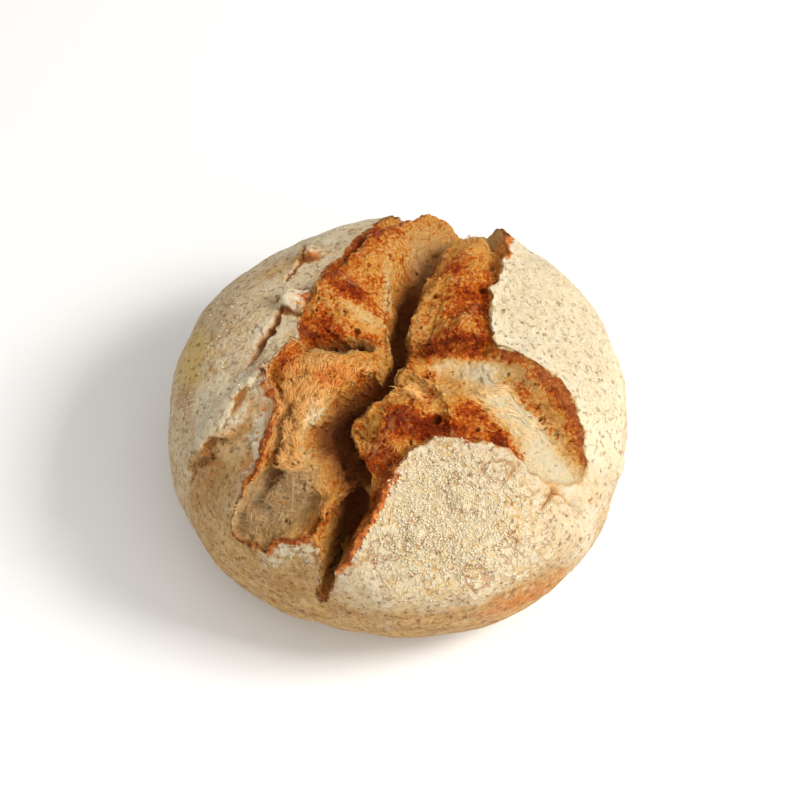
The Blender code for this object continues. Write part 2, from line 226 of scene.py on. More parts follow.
# Fine cracks in the crust: points of (u, v, half width, depth).
CRUST_CRACKS = (
    ((-49.4, -22, 0.6, 0.3), (-47.9, -16.8, 1, 0.7), (-45.4, -13.1, 1, 0.7), (-41, -8.2, 0.7, 0.4)),
    ((-63.5, -32, 0.9, 0.5), (-59.8, -29.4, 1.1, 0.7), (-53.6, -28.6, 1.2, 0.8), (-51.6, -25.4, 1.1, 0.7),
     (-45.5, -24.4, 0.7, 0.4)),
    ((51, -42.8, 0.7, 0.4), (43.6, -41, 1.1, 0.8), (40.2, -45.6, 0.8, 0.6)),
    ((-36, 30, 0.8, 0.6), (-31, 37.5, 1, 0.7), (-25, 45.5, 0.7, 0.4)),
    ((-38.6, 20.5, 0.8, 0.5), (-36, 24.4, 1.1, 0.9), (-31.6, 25.6, 1.1, 0.9), (-28.6, 23.5, 0.8, 0.5)),
    ((-38.6, 16.6, 0.8, 0.6), (-36.4, 13.8, 1.2, 1), (-33, 12.6, 1.2, 0.8)),
    ((-32.6, 40, 0.8, 0.5), (-29, 38.2, 1.1, 0.9), (-25.2, 39.6, 0.9, 0.6)),
    ((58, -38, 0.6, 0.4), (55.4, -42.6, 1, 0.8), (52.4, -45.8, 0.7, 0.5)),
)

# Steps: points of (u, v, reach, height). The left side of the line, from its first point to its
# last, stands higher, by that height at the line and less further off.
CRUMB_STEPS = (
    ((-38, 5.2, 2, 0.4), (-29, 6, 5, 1.5), (-20, 6.2, 5, 1.5), (-12, 4.2, 2, 0.4)),
    ((1, 3.5, 3, 0.5), (9, 0.2, 9, 3.4), (18, -0.4, 12, 4.4), (26, -0.4, 10, 4.8), (33.5, 1.8, 6, 2.4)),
)
CRUST_STEPS = (
    ((-48.4, -20.5, 3, 0.4), (-47.6, -16.5, 4, 1.1), (-45, -12.9, 4, 1.1), (-41, -8, 3, 0.4)),
    ((-59.8, -29, 3, 0.8), (-53.4, -28, 5, 1.7), (-51.3, -24.8, 5, 1.7), (-45.5, -24, 3, 0.6)),
    ((50, -42.5, 3, 0.4), (43, -40.6, 3, 1.2), (40, -45, 3, 0.4)),
)
STEP_FACE = 1.0

# Lumps and blisters of the crust: (u, v, half length, half width, degrees of the long axis, height).
CRUST_SWELLINGS = (
    (-33.8, 18.6, 5, 3, 58, 3.4),
    (-28.4, 41.4, 3.8, 2.6, 20, 2.8),
    (-58.9, -25, 5, 3, 30, 1.4),
    (-52, -20, 9, 5, 60, 1.2),
    (54, -41.5, 3.2, 1.8, 60, 1.6),
    (67.5, -24, 4, 3.4, 90, 1.5),
    (18.3, -48.3, 3, 2.6, 0, 1),
    (5.5, -57.5, 3.2, 2, 20, 0.9),
    (44, 28, 14, 10, 60, 0.8),
    (8, -72, 24, 5, 0, 0.8),
    (-62, 30, 12, 6, 70, 0.8),
    (-30, 70, 14, 8, 20, 0.8),
    (52, 52, 9, 5, 40, 0.9),
)

# Slow unevenness of the skin: (feature size, height) for crust and crumb, and the wander of edges.
# Each reads the noise at a shift of its own, so that they don't rise and fall together.
CRUST_WAVES = ((22.0, 0.9), (9.0, 0.5))
CRUMB_WAVES = ((12.0, 1.8), (5.0, 1.1))
EDGE_WANDER = ((9.0, 1.3), (3.6, 0.8))
CRUST_SHIFT = 9.0
CRUMB_SHIFT = 5.0
WANDER_SHIFTS = (20.0, 40.0)
NOISE_TABLE_SIZE = 256
NOISE_SEED = 11
NOISE_GAIN = 1.6

# How many points are measured against a path at once, and the least that anything is divided by.
CHUNK = 16000
TINY = 1e-9

# Where the torn crumb is browned, pale, or thin and grey: (u, v, half length, half width, degrees, share).
BROWNED_PLACES = (
    (-15, 24.5, 8.5, 4.5, -25, 1),
    (-9, 38, 15, 8, 40, 0.2),
    (-29, 10.5, 8, 4, 5, 0.75),
    (-34.4, 7.5, 4, 3, 0, 0.4),
    (-22, 32, 7, 3.5, 45, 0.7),
    (-11, 8.5, 3.5, 2.5, 0, 0.6),
    (-24, -12, 11, 6, 0, 0.55),
    (-4, 52, 13, 4.5, 40, 0.9),
    (17.5, 35.8, 4.5, 4.5, 0, 0.8),
    (22.3, 20, 8, 12, 0, 0.7),
    (14.2, 4, 9, 4.4, 0, 0.8),
    (28, 2.2, 4.5, 4, 0, 0.9),
    (0.5, -29.5, 7, 6, 30, 1.35),
    (9.7, -31.5, 5, 3.5, 0, 0.9),
    (-8.6, -41, 6.5, 5, 40, 1),
    (24.4, -23.5, 6, 4.5, 0, 1),
    (33, -31, 6, 3, -35, 1),
    (16, -30.5, 9, 2.5, 0, 0.8),
    (13, -13, 4, 5, 0, 0.35),
    (6, -4, 6, 4, 0, 0.4),
    (-36, -6, 4, 6, 0, 0.5),
    (-23.9, -53.5, 5, 3, 0, 0.5),
)
PALE_PLACES = (
    (37.5, -22, 13.5, 7, -42, 1.1),
    (47, -35.5, 9, 5.5, -20, 1.2),
    (36, -37, 6, 4, -30, 0.8),
    (22.5, -5.6, 10, 4, 0, 1),
    (33, -8, 7, 5, -20, 1),
    (-31, -20, 8, 17, 8, 0.35),
    (-28, -29, 2.6, 10, 0, 1),
    (44.5, -18, 13, 2.6, -66, 0.3),
    (-4, 31, 3, 13, -8, 0.45),
    (-12.5, 17, 5, 4, 0, 0.45),
    (17, -15, 5, 4, 0, 0.35),
)
GREY_PLACES = (
    (-38, -47, 11, 8, 15, 1.6),
    (25, 53, 7, 6, 0, 0.9),
    (-25, 3.5, 9, 2.5, 5, 0.7),
    (-35.5, -30, 3, 5, 0, 0.3),
    (16, 56, 10, 5, 20, 0.6),
    (8, 48, 5, 5, 0, 0.6),
    (-45, 4, 3, 8, -20, 0.6),
)

# Bands of browned crumb, as points of (u, v, half width, share).
BROWNED_BANDS = (
    ((33, -1, 1.6, 0.6), (42.2, -5.8, 2.4, 1), (48, -12.8, 2.8, 1.05), (51.6, -21, 2.8, 1),
     (53, -29, 2.2, 0.8)),
    ((40.5, -9.5, 1.4, 0.5), (44.6, -15.4, 1.6, 0.55), (48.2, -23, 1.5, 0.5)),
    ((-33, 9, 2, 0.3), (-37, -3, 2.5, 0.4), (-38, -12, 3, 0.4), (-36, -22, 3, 0.3), (-37.5, -32, 3, 0.3),
     (-41, -40, 3, 0.3)),
    ((29, 33, 2.5, 0.3), (28, 20, 3, 0.4), (29, 8, 3.5, 0.6), (28, 1.2, 2.6, 0.9), (20, 0.8, 3, 0.9),
     (10, 1.8, 2.8, 0.8), (3, 5, 2, 0.3)),
    ((-17, -63, 2, 0.5), (-10, -56, 2.8, 0.8), (-5.5, -49.5, 3, 0.8), (-1.5, -41, 3, 0.6)),
    ((31, 30, 2, 0.3), (31.6, 40, 2, 0.35), (31, 50, 2, 0.3)),
    ((-36.5, 7, 2, 0.5), (-29, 8, 2.6, 0.5), (-21, 8.5, 2.4, 0.4), (-13, 7.5, 2, 0.4)),
    ((4, -33.5, 2.5, 0.5), (12, -32.5, 2.5, 0.5), (22, -31, 2.5, 0.4), (33, -32, 2.5, 0.6),
     (39, -36, 1.5, 0.6)),
    ((-24, 33.5, 2, 0.7), (-18, 41, 2.5, 0.8), (-8, 53, 2.5, 0.7), (1, 60, 2, 0.3)),
)

# Where the crumb is drawn out into fibres towards the main rift.
FIBROUS_PLACES = (
    (-31, -24, 9, 17, 8, 1.2),
    (-35, -43, 9, 7, 15, 0.8),
    (-22, -11, 9, 6, 20, 0.5),
    (-8, -42, 7, 7, 40, 0.5),
    (-17.5, -50.5, 8, 3, 12, 1),
    (36, -20, 12, 8, -40, 0.3),
    (6, -12, 6, 8, 0, 0.5),
)

# Where the flour is caked and cracked.
CRACKLED_PLACES = (
    (12, -54, 34, 22, 0, 1),
    (-30, -60, 10, 6, 10, 0.9),
    (46, 22, 22, 30, 0, 0.16),
    (-54, 6, 16, 34, 0, 0.5),
)

# The depth below the crust at which painted shade begins to darken a hollow, and how much deeper it is
# darkest.
HOLLOW_FROM = 4.5
HOLLOW_DEPTH = 10.0
RIFT_SHADE = 0.035

# How much flour lies on the crust, where it is thick, and where it is rubbed off; at the lower left and on
# the small flap, less flour is partly painted shade.
FLOUR_LEVEL = 0.36
SKIRT_FLOUR = 0.16
FLOUR_RIM = (66.0, 92.0)
EDGE_RUB = ((2.4, 0.7), (1.1, 0.5))
THICK_FLOUR_PLACES = (
    (48, 25, 24, 26, 0, 0.7),
    (58, -8, 12, 18, 0, 0.6),
    (12, -54, 30, 17, 0, 0.55),
    (-54, -14, 5.5, 9, 0, 0.7),
    (-33.4, 20, 5, 3, 60, 0.6),
    (-44, 6, 4, 9, -15, 0.2),
    (-20, 62, 20, 9, 20, 0.2),
    (50, -56, 18, 12, 40, 0.3),
)
BARE_PLACES = (
    (-48, -70, 27, 16, -25, 0.8),
    # The lower left is bared partly for its cracked crust and partly as painted shade.
    (-57, -36, 12, 7, 25, 0.7),
    (-42.6, -27, 2.6, 11, 8, 0.55),
    (-52, -48, 8, 10, -40, 0.35),
    (41, -74, 19, 8, 25, 1),
    (0, -86, 48, 8, 0, 0.5),
    (47, -56, 12, 14, 40, 0.35),
    (-61.5, 8, 5, 14, 0, 0.35),
    (-38, 38, 9, 4, 40, 0.3),
    (-52, -27, 7, 2.5, 30, 0.5),
    # The small flap, bared partly as painted shade.
    (-30, -60, 10, 5, 10, 0.8),
    (-56, -42, 9, 9, 0, 0.4),
)

# Where the bare crust is baked darker and more orange.
BAKED_PLACES = (
    (41, -74, 18, 7, 25, 1),
    (60, -62, 14, 8, 50, 0.5),
    (55.6, 29.5, 3, 10, 0, 0.5),
    (66, 5, 3, 14, 0, 0.4),
    (26, -53, 4, 3, 0, 0.7),
    (22, -58, 2.5, 2, 0, 0.9),
    (-63, -15, 4, 14, 0, 0.5),
    (-36, 30, 5, 2.5, 45, 0.6),
    (-30, 37, 6, 2.5, 35, 0.6),
    (-46, -18, 3, 7, 0, 0.4),
    # Darker at the lower left partly for its baking and partly as painted shade below a crack's step.
    (-57, -33, 10, 4, 25, 0.5),
    (44, -41.6, 5, 1.6, 0, 0.8),
    (8, -66, 7, 2.5, 20, 0.5),
)
BAKED_BANDS = (
    ((-36.6, 18, 1.6, 0.8), (-40.6, 11.6, 2, 1), (-44, 5, 2, 1), (-47, -3, 1.6, 0.7)),
    ((-29.5, 21.5, 1.6, 0.9), (-31.6, 16.5, 1.6, 0.9), (-35, 13, 1.4, 0.6)),
    ((-30, 38.5, 1.6, 0.8), (-26.5, 39, 1.6, 0.8), (-24.5, 42.5, 1.4, 0.5)),
    ((-36, 33, 1.6, 0.5), (-33, 36, 2, 0.9), (-30, 37, 1.6, 0.6)),
    ((-47.6, -11.5, 1.2, 0.5), (-45, -9.5, 1.6, 0.8), (-42.4, -7.5, 1.4, 0.6)),
    ((-42, -18, 2, 0.6), (-42.6, -30, 2.4, 1), (-45, -39, 2, 0.8)),
)

# Where the lifted edge of the crust is itself browned, and from where to where that fades.
RIM_PLACES = (
    (-9, -54, 14, 6, 58, 1.6),
    (-41, -30, 5, 24, 8, 1.4),
    (-30, -54, 14, 3, 0, 1.2),
    (31.5, 44, 3, 10, 0, 1.2),
    (-30, 22, 3, 8, -20, 0.7),
    (20, -33.5, 20, 2.5, 0, 0.35),
)
RIM_REACH = (0.9, 3.0)

# Round blisters of the floured crust, with a browned ring about them.
BLISTER_PLACES = (
    (18.3, -48.3, 4.4, 3.8, 0, 1),
    (5.5, -57.5, 4.6, 3.2, 20, 1),
    (-4.5, -60.5, 3.6, 2.8, 60, 0.9),
    (28.6, -40.4, 5, 2.8, 35, 0.9),
    (31, -57, 4, 3, 70, 0.8),
    (22, -66, 4.6, 3, 10, 0.8),
)

# Where flour lies in knobs, and where the crust is yellow.
KNOBBLY_PLACES = (
    (-43.6, -9.5, 3.4, 2.4, 60, 1),
    (-42.2, -28, 1.6, 8, 6, 0.8),
    (-33.8, 19, 4, 2.6, 58, 0.5),
    (-30, -58, 10, 4, 5, 0.6),
)
YELLOW_PLACES = (
    (50, 16, 24, 40, 0, 0.8),
    (-61.5, 8, 5, 12, 0, 1),
    (67.5, -22, 3, 4, 0, 1),
    (12, -68, 6, 3, 0, 0.8),
    (5.5, -44, 4, 4, 0, 0.4),
    (58, -10, 5, 16, 10, 0.5),
)


def smooth_step(value, low, high):
    """0 below low, 1 above high, and a smooth rise between."""
    t = np.clip((value - low) / (high - low), 0.0, 1.0)
    return t * t * (3.0 - 2.0 * t)


def unit(vectors):
    """Vectors of length 1 along these."""
    return vectors / np.maximum(np.linalg.norm(vectors, axis=-1, keepdims=True), TINY)


def flat_length(vectors):
    """The length of vectors in their first two axes."""
    return np.hypot(vectors[:, 0], vectors[:, 1])


def noise_tables():
    """Shuffled indices and random unit gradients for gradient_noise."""
    draw = np.random.default_rng(NOISE_SEED)
    order = draw.permutation(NOISE_TABLE_SIZE)
    gradients = draw.normal(size=(NOISE_TABLE_SIZE, 3))
    return order, unit(gradients)


ORDER, GRADIENTS = noise_tables()


def picked_index(cell):
    """A shuffled table index for whole-numbered 3-D cells."""
    x, y, z = (cell % NOISE_TABLE_SIZE).T
    return ORDER[(ORDER[(ORDER[x] + y) % NOISE_TABLE_SIZE] + z) % NOISE_TABLE_SIZE]


def gradient_noise(points, feature_size, shift):
    """Smooth noise of about -1 to 1 at 3-D points, whose bumps are feature_size across."""
    scaled = points / feature_size + shift
    cell = np.floor(scaled).astype(int)
    inside = scaled - cell
    blend = inside**3 * (inside * (inside * 6.0 - 15.0) + 10.0)
    total = np.zeros(len(points))
    for corner in np.ndindex(2, 2, 2):
        reach = np.einsum("ij,ij->i", GRADIENTS[picked_index(cell + corner)], inside - corner)
        share = np.where(corner, blend, 1.0 - blend).prod(axis=1)
        total += reach * share
    return total * NOISE_GAIN


def waves(points, layers, shift):
    """The sum of noise layers, each of (feature size, height)."""
    noises = [height * gradient_noise(points, size, shift + i) for i, (size, height) in enumerate(layers)]
    return sum(noises)


def plain_radius(directions):
    """Distance from the heart of the roll to the plain dome along unit directions."""
    level = directions[:, 2]
    around = flat_length(directions)
    azimuth = np.arctan2(directions[:, 1], directions[:, 0])
    lobes = 1.0 + sum(share * np.cos(n * (azimuth - math.radians(at))) for n, share, at in PLAN_LOBES)
    above = level >= 0.0
    depth = np.where(above, CROWN_RISE, UNDER_DROP)
    power = np.where(above, CROWN_SQUARENESS, UNDER_SQUARENESS)
    return ((around / (HALF_WIDTH * lobes)) ** power + (np.abs(level) / depth) ** power) ** (-1.0 / power)


def to_map(directions):
    """The crust map's (u, v) of unit directions from the heart."""
    around = flat_length(directions)
    over_crust = HALF_WIDTH * np.arctan2(around, directions[:, 2])
    return directions[:, :2] * (over_crust / np.maximum(around, TINY))[:, None]


def from_map(uv):
    """Unit directions of crust map points."""
    over_crust = np.maximum(flat_length(uv), TINY)
    angle = over_crust / HALF_WIDTH
    flat = uv * (np.sin(angle) / over_crust)[:, None]
    return np.column_stack([flat, np.cos(angle)])


def nearest_on_path(uv, path):
    """For map points: the vector from the path's nearest point, with its other values and its run."""
    path = np.asarray(path, float)
    start, run = path[:-1], np.diff(path, axis=0)
    length2 = np.maximum((run[:, :2] ** 2).sum(axis=1), TINY)
    found = []
    for part in np.array_split(uv, max(1, len(uv) // CHUNK)):
        offset = part[:, None, :] - start[None, :, :2]
        along = np.clip(np.einsum("pse,se->ps", offset, run[:, :2]) / length2, 0.0, 1.0)
        apart = offset - along[:, :, None] * run[None, :, :2]
        nearest = (apart**2).sum(axis=2).argmin(axis=1)
        rows = np.arange(len(part))
        values = start[nearest] + along[rows, nearest, None] * run[nearest]
        found.append((apart[rows, nearest], values[:, 2:], run[nearest, :2]))
    return tuple(np.concatenate(column) for column in zip(*found))


def side_of(apart, run):
    """Above 0 where a point lies on the left of a path, below 0 on its right."""
    return run[:, 0] * apart[:, 1] - run[:, 1] * apart[:, 0]


def inside_outline(uv, outline):
    """True for map points inside a closed outline."""
    x, y = uv[:, 0, None], uv[:, 1, None]
    x0, y0 = outline[:, 0], outline[:, 1]
    x1, y1 = np.roll(x0, -1), np.roll(y0, -1)
    slope = (x1 - x0) / np.where(y1 == y0, TINY, y1 - y0)
    crossed = ((y0 > y) != (y1 > y)) & (x < x0 + (y - y0) * slope)
    return crossed.sum(axis=1) % 2 == 1


def tear_outline():
    """The closed outline of the torn crumb, from its four crust edges."""
    return np.array(LEFT_EDGE + SMALL_FLAP_EDGE + FRONT_EDGE + RIGHT_EDGE)


def tear_edge(uv):
    """Distance into the crust from the tear's edge, below 0 in the tear, the edge's values, the way in."""
    outline = tear_outline()
    apart, values, _ = nearest_on_path(uv, np.vstack([outline, outline[:1]]))
    distance = flat_length(apart)
    side = np.where(inside_outline(uv, outline), -1.0, 1.0)
    towards_tear = -apart * (side / np.maximum(distance, TINY))[:, None]
    return side * distance, values.T, towards_tear


def patches(uv, swellings):
    """The sum of soft round patches, each of (u, v, half length, half width, degrees, height)."""
    total = np.zeros(len(uv))
    for u, v, half_length, half_width, degrees, height in swellings:
        turn = math.radians(degrees)
        offset = uv - (u, v)
        long_way = (offset @ (math.cos(turn), math.sin(turn))) / half_length
        short_way = (offset @ (-math.sin(turn), math.cos(turn))) / half_width
        total += height * np.exp(-((long_way**2 + short_way**2) ** SWELLING_POWER))
    return total


def rift_depth(uv, path):
    """The depth of a rift, or the share of a band, with soft shoulders along (u, v, half width, depth)."""
    apart, values, _ = nearest_on_path(uv, path)
    share = flat_length(apart) / values[:, 0]
    return values[:, 1] * (1.0 - smooth_step(share, RIFT_FLOOR, 1.0)) ** RIFT_POWER


def step_height(uv, path):
    """The height of a step along a path of (u, v, reach, height), raised on the path's left."""
    apart, values, run = nearest_on_path(uv, path)
    side = np.sign(side_of(apart, run))
    distance = flat_length(apart)
    face = smooth_step(side * distance, -STEP_FACE / 2.0, STEP_FACE / 2.0)
    return face * values[:, 1] * np.exp(-((distance / values[:, 0]) ** 2))


def crumb_height(uv, places):
    """The torn crumb's height over the plain dome."""
    height = CRUMB_LEVEL + patches(uv, CRUMB_SWELLINGS) + waves(places, CRUMB_WAVES, CRUMB_SHIFT)
    height += sum(step_height(uv, path) for path in CRUMB_STEPS)
    return height - rift_depth(uv, MAIN_RIFT)


def crust_height(uv, places, distance, lift):
    """The crust's height over the plain dome, lifted beside the tear."""
    height = lift * np.exp(-np.maximum(distance, 0.0) / LIFT_REACH) + waves(places, CRUST_WAVES, CRUST_SHIFT)
    height += patches(uv, CRUST_SWELLINGS)
    return height + sum(step_height(uv, path) for path in CRUST_STEPS)


# The finer fraying of the crust edges, which the coarse settling leaves out.
FRAY = ((2.8, 0.8), (1.3, 0.45), (0.7, 0.22))
FRAY_SHIFTS = (60.0, 80.0)


def seen_map(directions, plain, fray):
    """Map points as the tear's edges, rifts and patches see them, after the wander of the edges."""
    wander = np.column_stack([waves(plain, EDGE_WANDER, shift) for shift in WANDER_SHIFTS])
    if fray:
        wander += np.column_stack([waves(plain, FRAY, shift) for shift in FRAY_SHIFTS])
    return to_map(directions) + wander


def skin(directions, fray=False):
    """The skin from the heart, its map points, edge distance, crust share, way into the tear and drop."""
    plain = directions * plain_radius(directions)[:, None]
    seen = seen_map(directions, plain, fray)
    distance, (lift, lean, face), towards_tear = tear_edge(seen)
    on_crust = smooth_step(distance, -face, 0.0)
    drop = (1.0 - on_crust) * (crust_height(seen, plain, distance, lift) - crumb_height(seen, plain))
    height = crust_height(seen, plain, distance, lift) - drop
    inward = np.hypot(drop, np.minimum(distance, 0.0))
    height -= sum(rift_depth(seen, path) for path in SIDE_RIFTS)
    lean_here = lean * on_crust * np.exp(-np.maximum(distance, 0.0) / LEAN_REACH)
    leaned = from_map(to_map(directions) + towards_tear * lean_here[:, None])
    points = leaned * (plain_radius(leaned) + height)[:, None]
    return flattened(points), seen, distance, on_crust, inward, drop


def flattened(points):
    """The skin with everything below the base plane drawn up to it along the line from the heart."""
    depth = -points[:, 2]
    shrink = np.where(depth > WIDEST_LEVEL, WIDEST_LEVEL / np.maximum(depth, TINY), 1.0)
    return points * shrink[:, None]


def ball_of_squares(cells):
    """A cube whose sides are cut into cells x cells squares, as a bmesh, to be blown up into the roll."""
    ball = bmesh.new()
    bmesh.ops.create_cube(ball, size=2.0)
    bmesh.ops.subdivide_edges(ball, edges=ball.edges, cuts=cells - 1, use_grid_fill=True)
    return ball


def spread_directions(corners):
    """Even unit directions for the cube's points, crowded towards the crown."""
    directions = unit(np.tan(corners * (math.pi / 4.0)))
    angle = np.arccos(np.clip(directions[:, 2], -1.0, 1.0))
    angle -= CROWN_CROWDING * np.sin(angle)
    around = directions[:, :2] / np.maximum(flat_length(directions), TINY)[:, None]
    return np.column_stack([around * np.sin(angle)[:, None], np.cos(angle)])


def settled(directions, edges, rounds):
    """Directions moved along the skin until its mesh edges are of like length, also down steep walls."""
    first, second = edges.T
    count = len(directions)
    for _ in range(rounds):
        points = skin(directions)[0]
        gap = np.linalg.norm(directions[first] - directions[second], axis=1)
        stretch = np.linalg.norm(points[first] - points[second], axis=1) / np.maximum(gap, TINY)
        total = np.bincount(first, stretch, count) + np.bincount(second, stretch, count)
        drawn = [
            np.bincount(first, stretch * directions[second, axis], count)
            + np.bincount(second, stretch * directions[first, axis], count)
            for axis in range(3)
        ]
        middle = np.column_stack(drawn) / total[:, None]
        directions = unit(directions + SETTLING_PACE * (middle - directions))
    return directions


def vertex_places(ball):
    """The places of a bmesh's vertices."""
    return np.array([v.co for v in ball.verts])


def edge_ends(ball):
    """The two vertex numbers of each edge of a bmesh."""
    return np.array([[v.index for v in e.verts] for e in ball.edges])


def move_vertices(ball, places):
    """Puts a bmesh's vertices at these places."""
    for vert, place in zip(ball.verts, places):
        vert.co = place


def halved(ball, directions, rounds):
    """The ball with each of its squares cut in four, and its directions settled again."""
    move_vertices(ball, directions)
    bmesh.ops.subdivide_edges(ball, edges=ball.edges, cuts=1, use_grid_fill=True)
    ball.verts.index_update()
    directions = unit(vertex_places(ball))
    return settled(directions, edge_ends(ball), rounds) if rounds else directions


def fine_ball():
    """The ball of squares at its final fineness, and the settled directions of its vertices."""
    ball = ball_of_squares(COARSE_CELLS_PER_SIDE)
    directions = settled(spread_directions(vertex_places(ball)), edge_ends(ball), COARSE_ROUNDS)
    return ball, halved(ball, directions, FINE_ROUNDS)


def cut_out(ball, directions, kept):
    """A copy of the ball with only the squares that touch a kept vertex, and its directions."""
    patch = ball.copy()
    move_vertices(patch, directions)
    unwanted = [face for face in patch.faces if not any(kept[v.index] for v in face.verts)]
    bmesh.ops.delete(patch, geom=unwanted, context="FACES")
    patch.verts.index_update()
    return patch, vertex_places(patch)


# The fine relief of crumb and crust, as (feature size, height), along the skin's normals.
CRUMB_LUMPS = ((4.2, 0.45), (2.0, 0.32))
CRUMB_WRINKLES = ((1.1, 0.28), (0.65, 0.20))
CRUMB_FIBRES = ((1.1, 0.34), (0.6, 0.24))
CRUST_GRAIN = ((4.5, 0.16), (1.7, 0.10))
FLOUR_CLUMPS = ((2.2, 0.16), (1.1, 0.16))
FIBRE_LENGTH = 6.0
FIBRE_TILT = 46.0
CRUMB_PORES = (3.2, 0.30, 0.9, 1.3)
FINE_PORES = (1.6, 0.5, 0.5, 0.7)
FLOUR_KNOBS = (1.9, 0.8, 0.95, 0.8)
CRUMB_SINK = 0.9
CRUST_SINK = 0.38
LUMP_SHIFT = 3.0
FIBRE_SHIFT = 7.0
GRAIN_SHIFT = 13.0
CLUMP_SHIFT = 17.0

# The crumb's own finer mesh starts under the crust's edge, and the body lies below it in the tear:
# (distance from the edge at which a mesh begins to sink, where it is down, how deep it lies there).
CRUMB_UNDER_CRUST = (-0.5, 0.8, 0.7)
BODY_UNDER_CRUMB = (0.2, 1.6, 1.6)
CRUMB_MARGIN = 1.2

# The level over the base at which the fine relief begins, and the one at which it is whole.
PLAIN_BASE = (0.3, 3.0)


def pores(points, cell_size, share, widest, depth, shift):
    """Round pores: a share of the cells of cell_size holds one, up to widest across its radius."""
    scaled = points / cell_size + shift
    cell = np.floor(scaled).astype(int)
    total = np.zeros(len(points))
    for corner in np.ndindex(3, 3, 3):
        home = cell + corner - 1
        index = picked_index(home)
        centre = home + 0.5 + 0.4 * GRADIENTS[index]
        dice = (index * 37 % NOISE_TABLE_SIZE) / NOISE_TABLE_SIZE
        radius = np.where(dice < share, widest / cell_size * (0.4 + 0.6 * dice / share), TINY)
        near = np.linalg.norm(scaled - centre, axis=1) / radius
        total = np.maximum(total, 1.0 - smooth_step(near, 0.55, 1.0))
    return depth * total


def flow_places(seen, points):
    """Places whose second axis leads away from the main rift, and the way that the crumb is drawn."""
    path = np.array(MAIN_RIFT)
    length = np.concatenate([[0.0], np.cumsum(np.hypot(*np.diff(path[:, :2], axis=0).T))])
    apart, values, run = nearest_on_path(seen, np.column_stack([path, length]))
    side = np.sign(side_of(apart, run))
    across = side * flat_length(apart)
    tilt = math.radians(FIBRE_TILT) * (side < 0.0)
    along = np.cos(tilt) * values[:, 2] + np.sin(tilt) * across
    across = np.cos(tilt) * across - np.sin(tilt) * values[:, 2]
    way = unit(apart) - np.tan(tilt)[:, None] * unit(run)
    return np.column_stack([along, across, points[:, 2]]), unit(np.column_stack([way, np.zeros(len(way))]))


def ridged(points, layers, shift):
    """Sharp ridges with round valleys between them, from noise layers of (feature size, height)."""
    ridges = [
        height * (1.0 - 2.0 * np.abs(gradient_noise(points, size, shift + i)))
        for i, (size, height) in enumerate(layers)
    ]
    return sum(ridges)


def crumb_relief(seen, points, flow, inward):
    """Height of the torn crumb's lumps, wrinkles, fibres and pores: rough where browned, fine where pale."""
    rough = np.clip(0.7 + 0.5 * patches(seen, BROWNED_PLACES) - 0.4 * patches(seen, PALE_PLACES), 0.3, 1.3)
    fibrous = np.clip(0.35 + patches(seen, FIBROUS_PLACES), 0.0, 1.4)
    fibre_places = flow * (1.0, 1.0 / FIBRE_LENGTH, 0.4)
    lumps = waves(points, CRUMB_LUMPS, LUMP_SHIFT) + waves(points, CRUMB_WRINKLES, LUMP_SHIFT + 0.5)
    relief = rough * lumps
    relief += fibrous * ridged(fibre_places, CRUMB_FIBRES, FIBRE_SHIFT)
    relief -= pores(points, *CRUMB_PORES, LUMP_SHIFT) + pores(points, *FINE_PORES, FIBRE_SHIFT)
    return relief * (0.4 + 0.6 * smooth_step(inward, 0.5, 3.0)) - CRUMB_SINK


def crust_relief(seen, points, flour):
    """Height of the crust's grain and cracks and of the flour caked on it."""
    clumps = flour * waves(points, FLOUR_CLUMPS, CLUMP_SHIFT)
    clumps += patches(seen, KNOBBLY_PLACES) * pores(points, *FLOUR_KNOBS, CLUMP_SHIFT)
    cracks = sum(rift_depth(seen, path) for path in CRUST_CRACKS)
    return waves(points, CRUST_GRAIN, GRAIN_SHIFT) + clumps - CRUST_SINK - cracks


def flour_share(uv, points, distance):
    """How much flour lies on the crust, from 0 to about 1, rubbed off raggedly at the tear's edge."""
    rubbed = smooth_step(distance + waves(points, EDGE_RUB, CLUMP_SHIFT), -0.2, 0.9)
    out = flat_length(uv)
    share = SKIRT_FLOUR + (FLOUR_LEVEL - SKIRT_FLOUR) * (1.0 - smooth_step(out, *FLOUR_RIM))
    share += patches(uv, THICK_FLOUR_PLACES) - patches(uv, BARE_PLACES)
    return np.clip(share, 0.0, 1.2) * rubbed


def surface_shares(seen, distance, inward, drop, flour, relief):
    """The named shares that the materials read at each vertex."""
    # Painted shade: the crumb darkens with its drop below the crust, in the slit and the lip's crevice, and
    # along the main rift.
    hollow = (drop - HOLLOW_FROM) / HOLLOW_DEPTH
    hollow += (rift_depth(seen, SLIT) + 0.7 * rift_depth(seen, LIP_CREVICE)) / 4.0
    hollow += RIFT_SHADE * rift_depth(seen, MAIN_RIFT)
    browned = patches(seen, BROWNED_PLACES) + sum(rift_depth(seen, path) for path in BROWNED_BANDS)
    cracked = sum(rift_depth(seen, path) for path in CRUST_CRACKS) + 0.4 * rift_depth(seen, CRUST_GROOVE)
    return {
        "inward": inward,
        "browned": browned,
        "pale": patches(seen, PALE_PLACES),
        "grey": patches(seen, GREY_PLACES),
        "hollow": np.clip(hollow, 0.0, 1.0),
        "flour": flour,
        "crackled": patches(seen, CRACKLED_PLACES),
        "rim": patches(seen, RIM_PLACES) * (1.0 - smooth_step(distance, *RIM_REACH)),
        "knobbly": patches(seen, KNOBBLY_PLACES),
        "blister": patches(seen, BLISTER_PLACES),
        "baked": patches(seen, BAKED_PLACES) + sum(rift_depth(seen, path) for path in BAKED_BANDS),
        "yellow": patches(seen, YELLOW_PLACES),
        "fibrous": patches(seen, FIBROUS_PLACES),
        "cracked": cracked,
        "relief": relief,
    }


def store_shares(mesh, shares):
    """Keeps each share as a vertex attribute of the mesh."""
    for name, values in shares.items():
        layer = mesh.attributes.new(name, "FLOAT", "POINT")
        layer.data.foreach_set("value", np.asarray(values, np.float32))


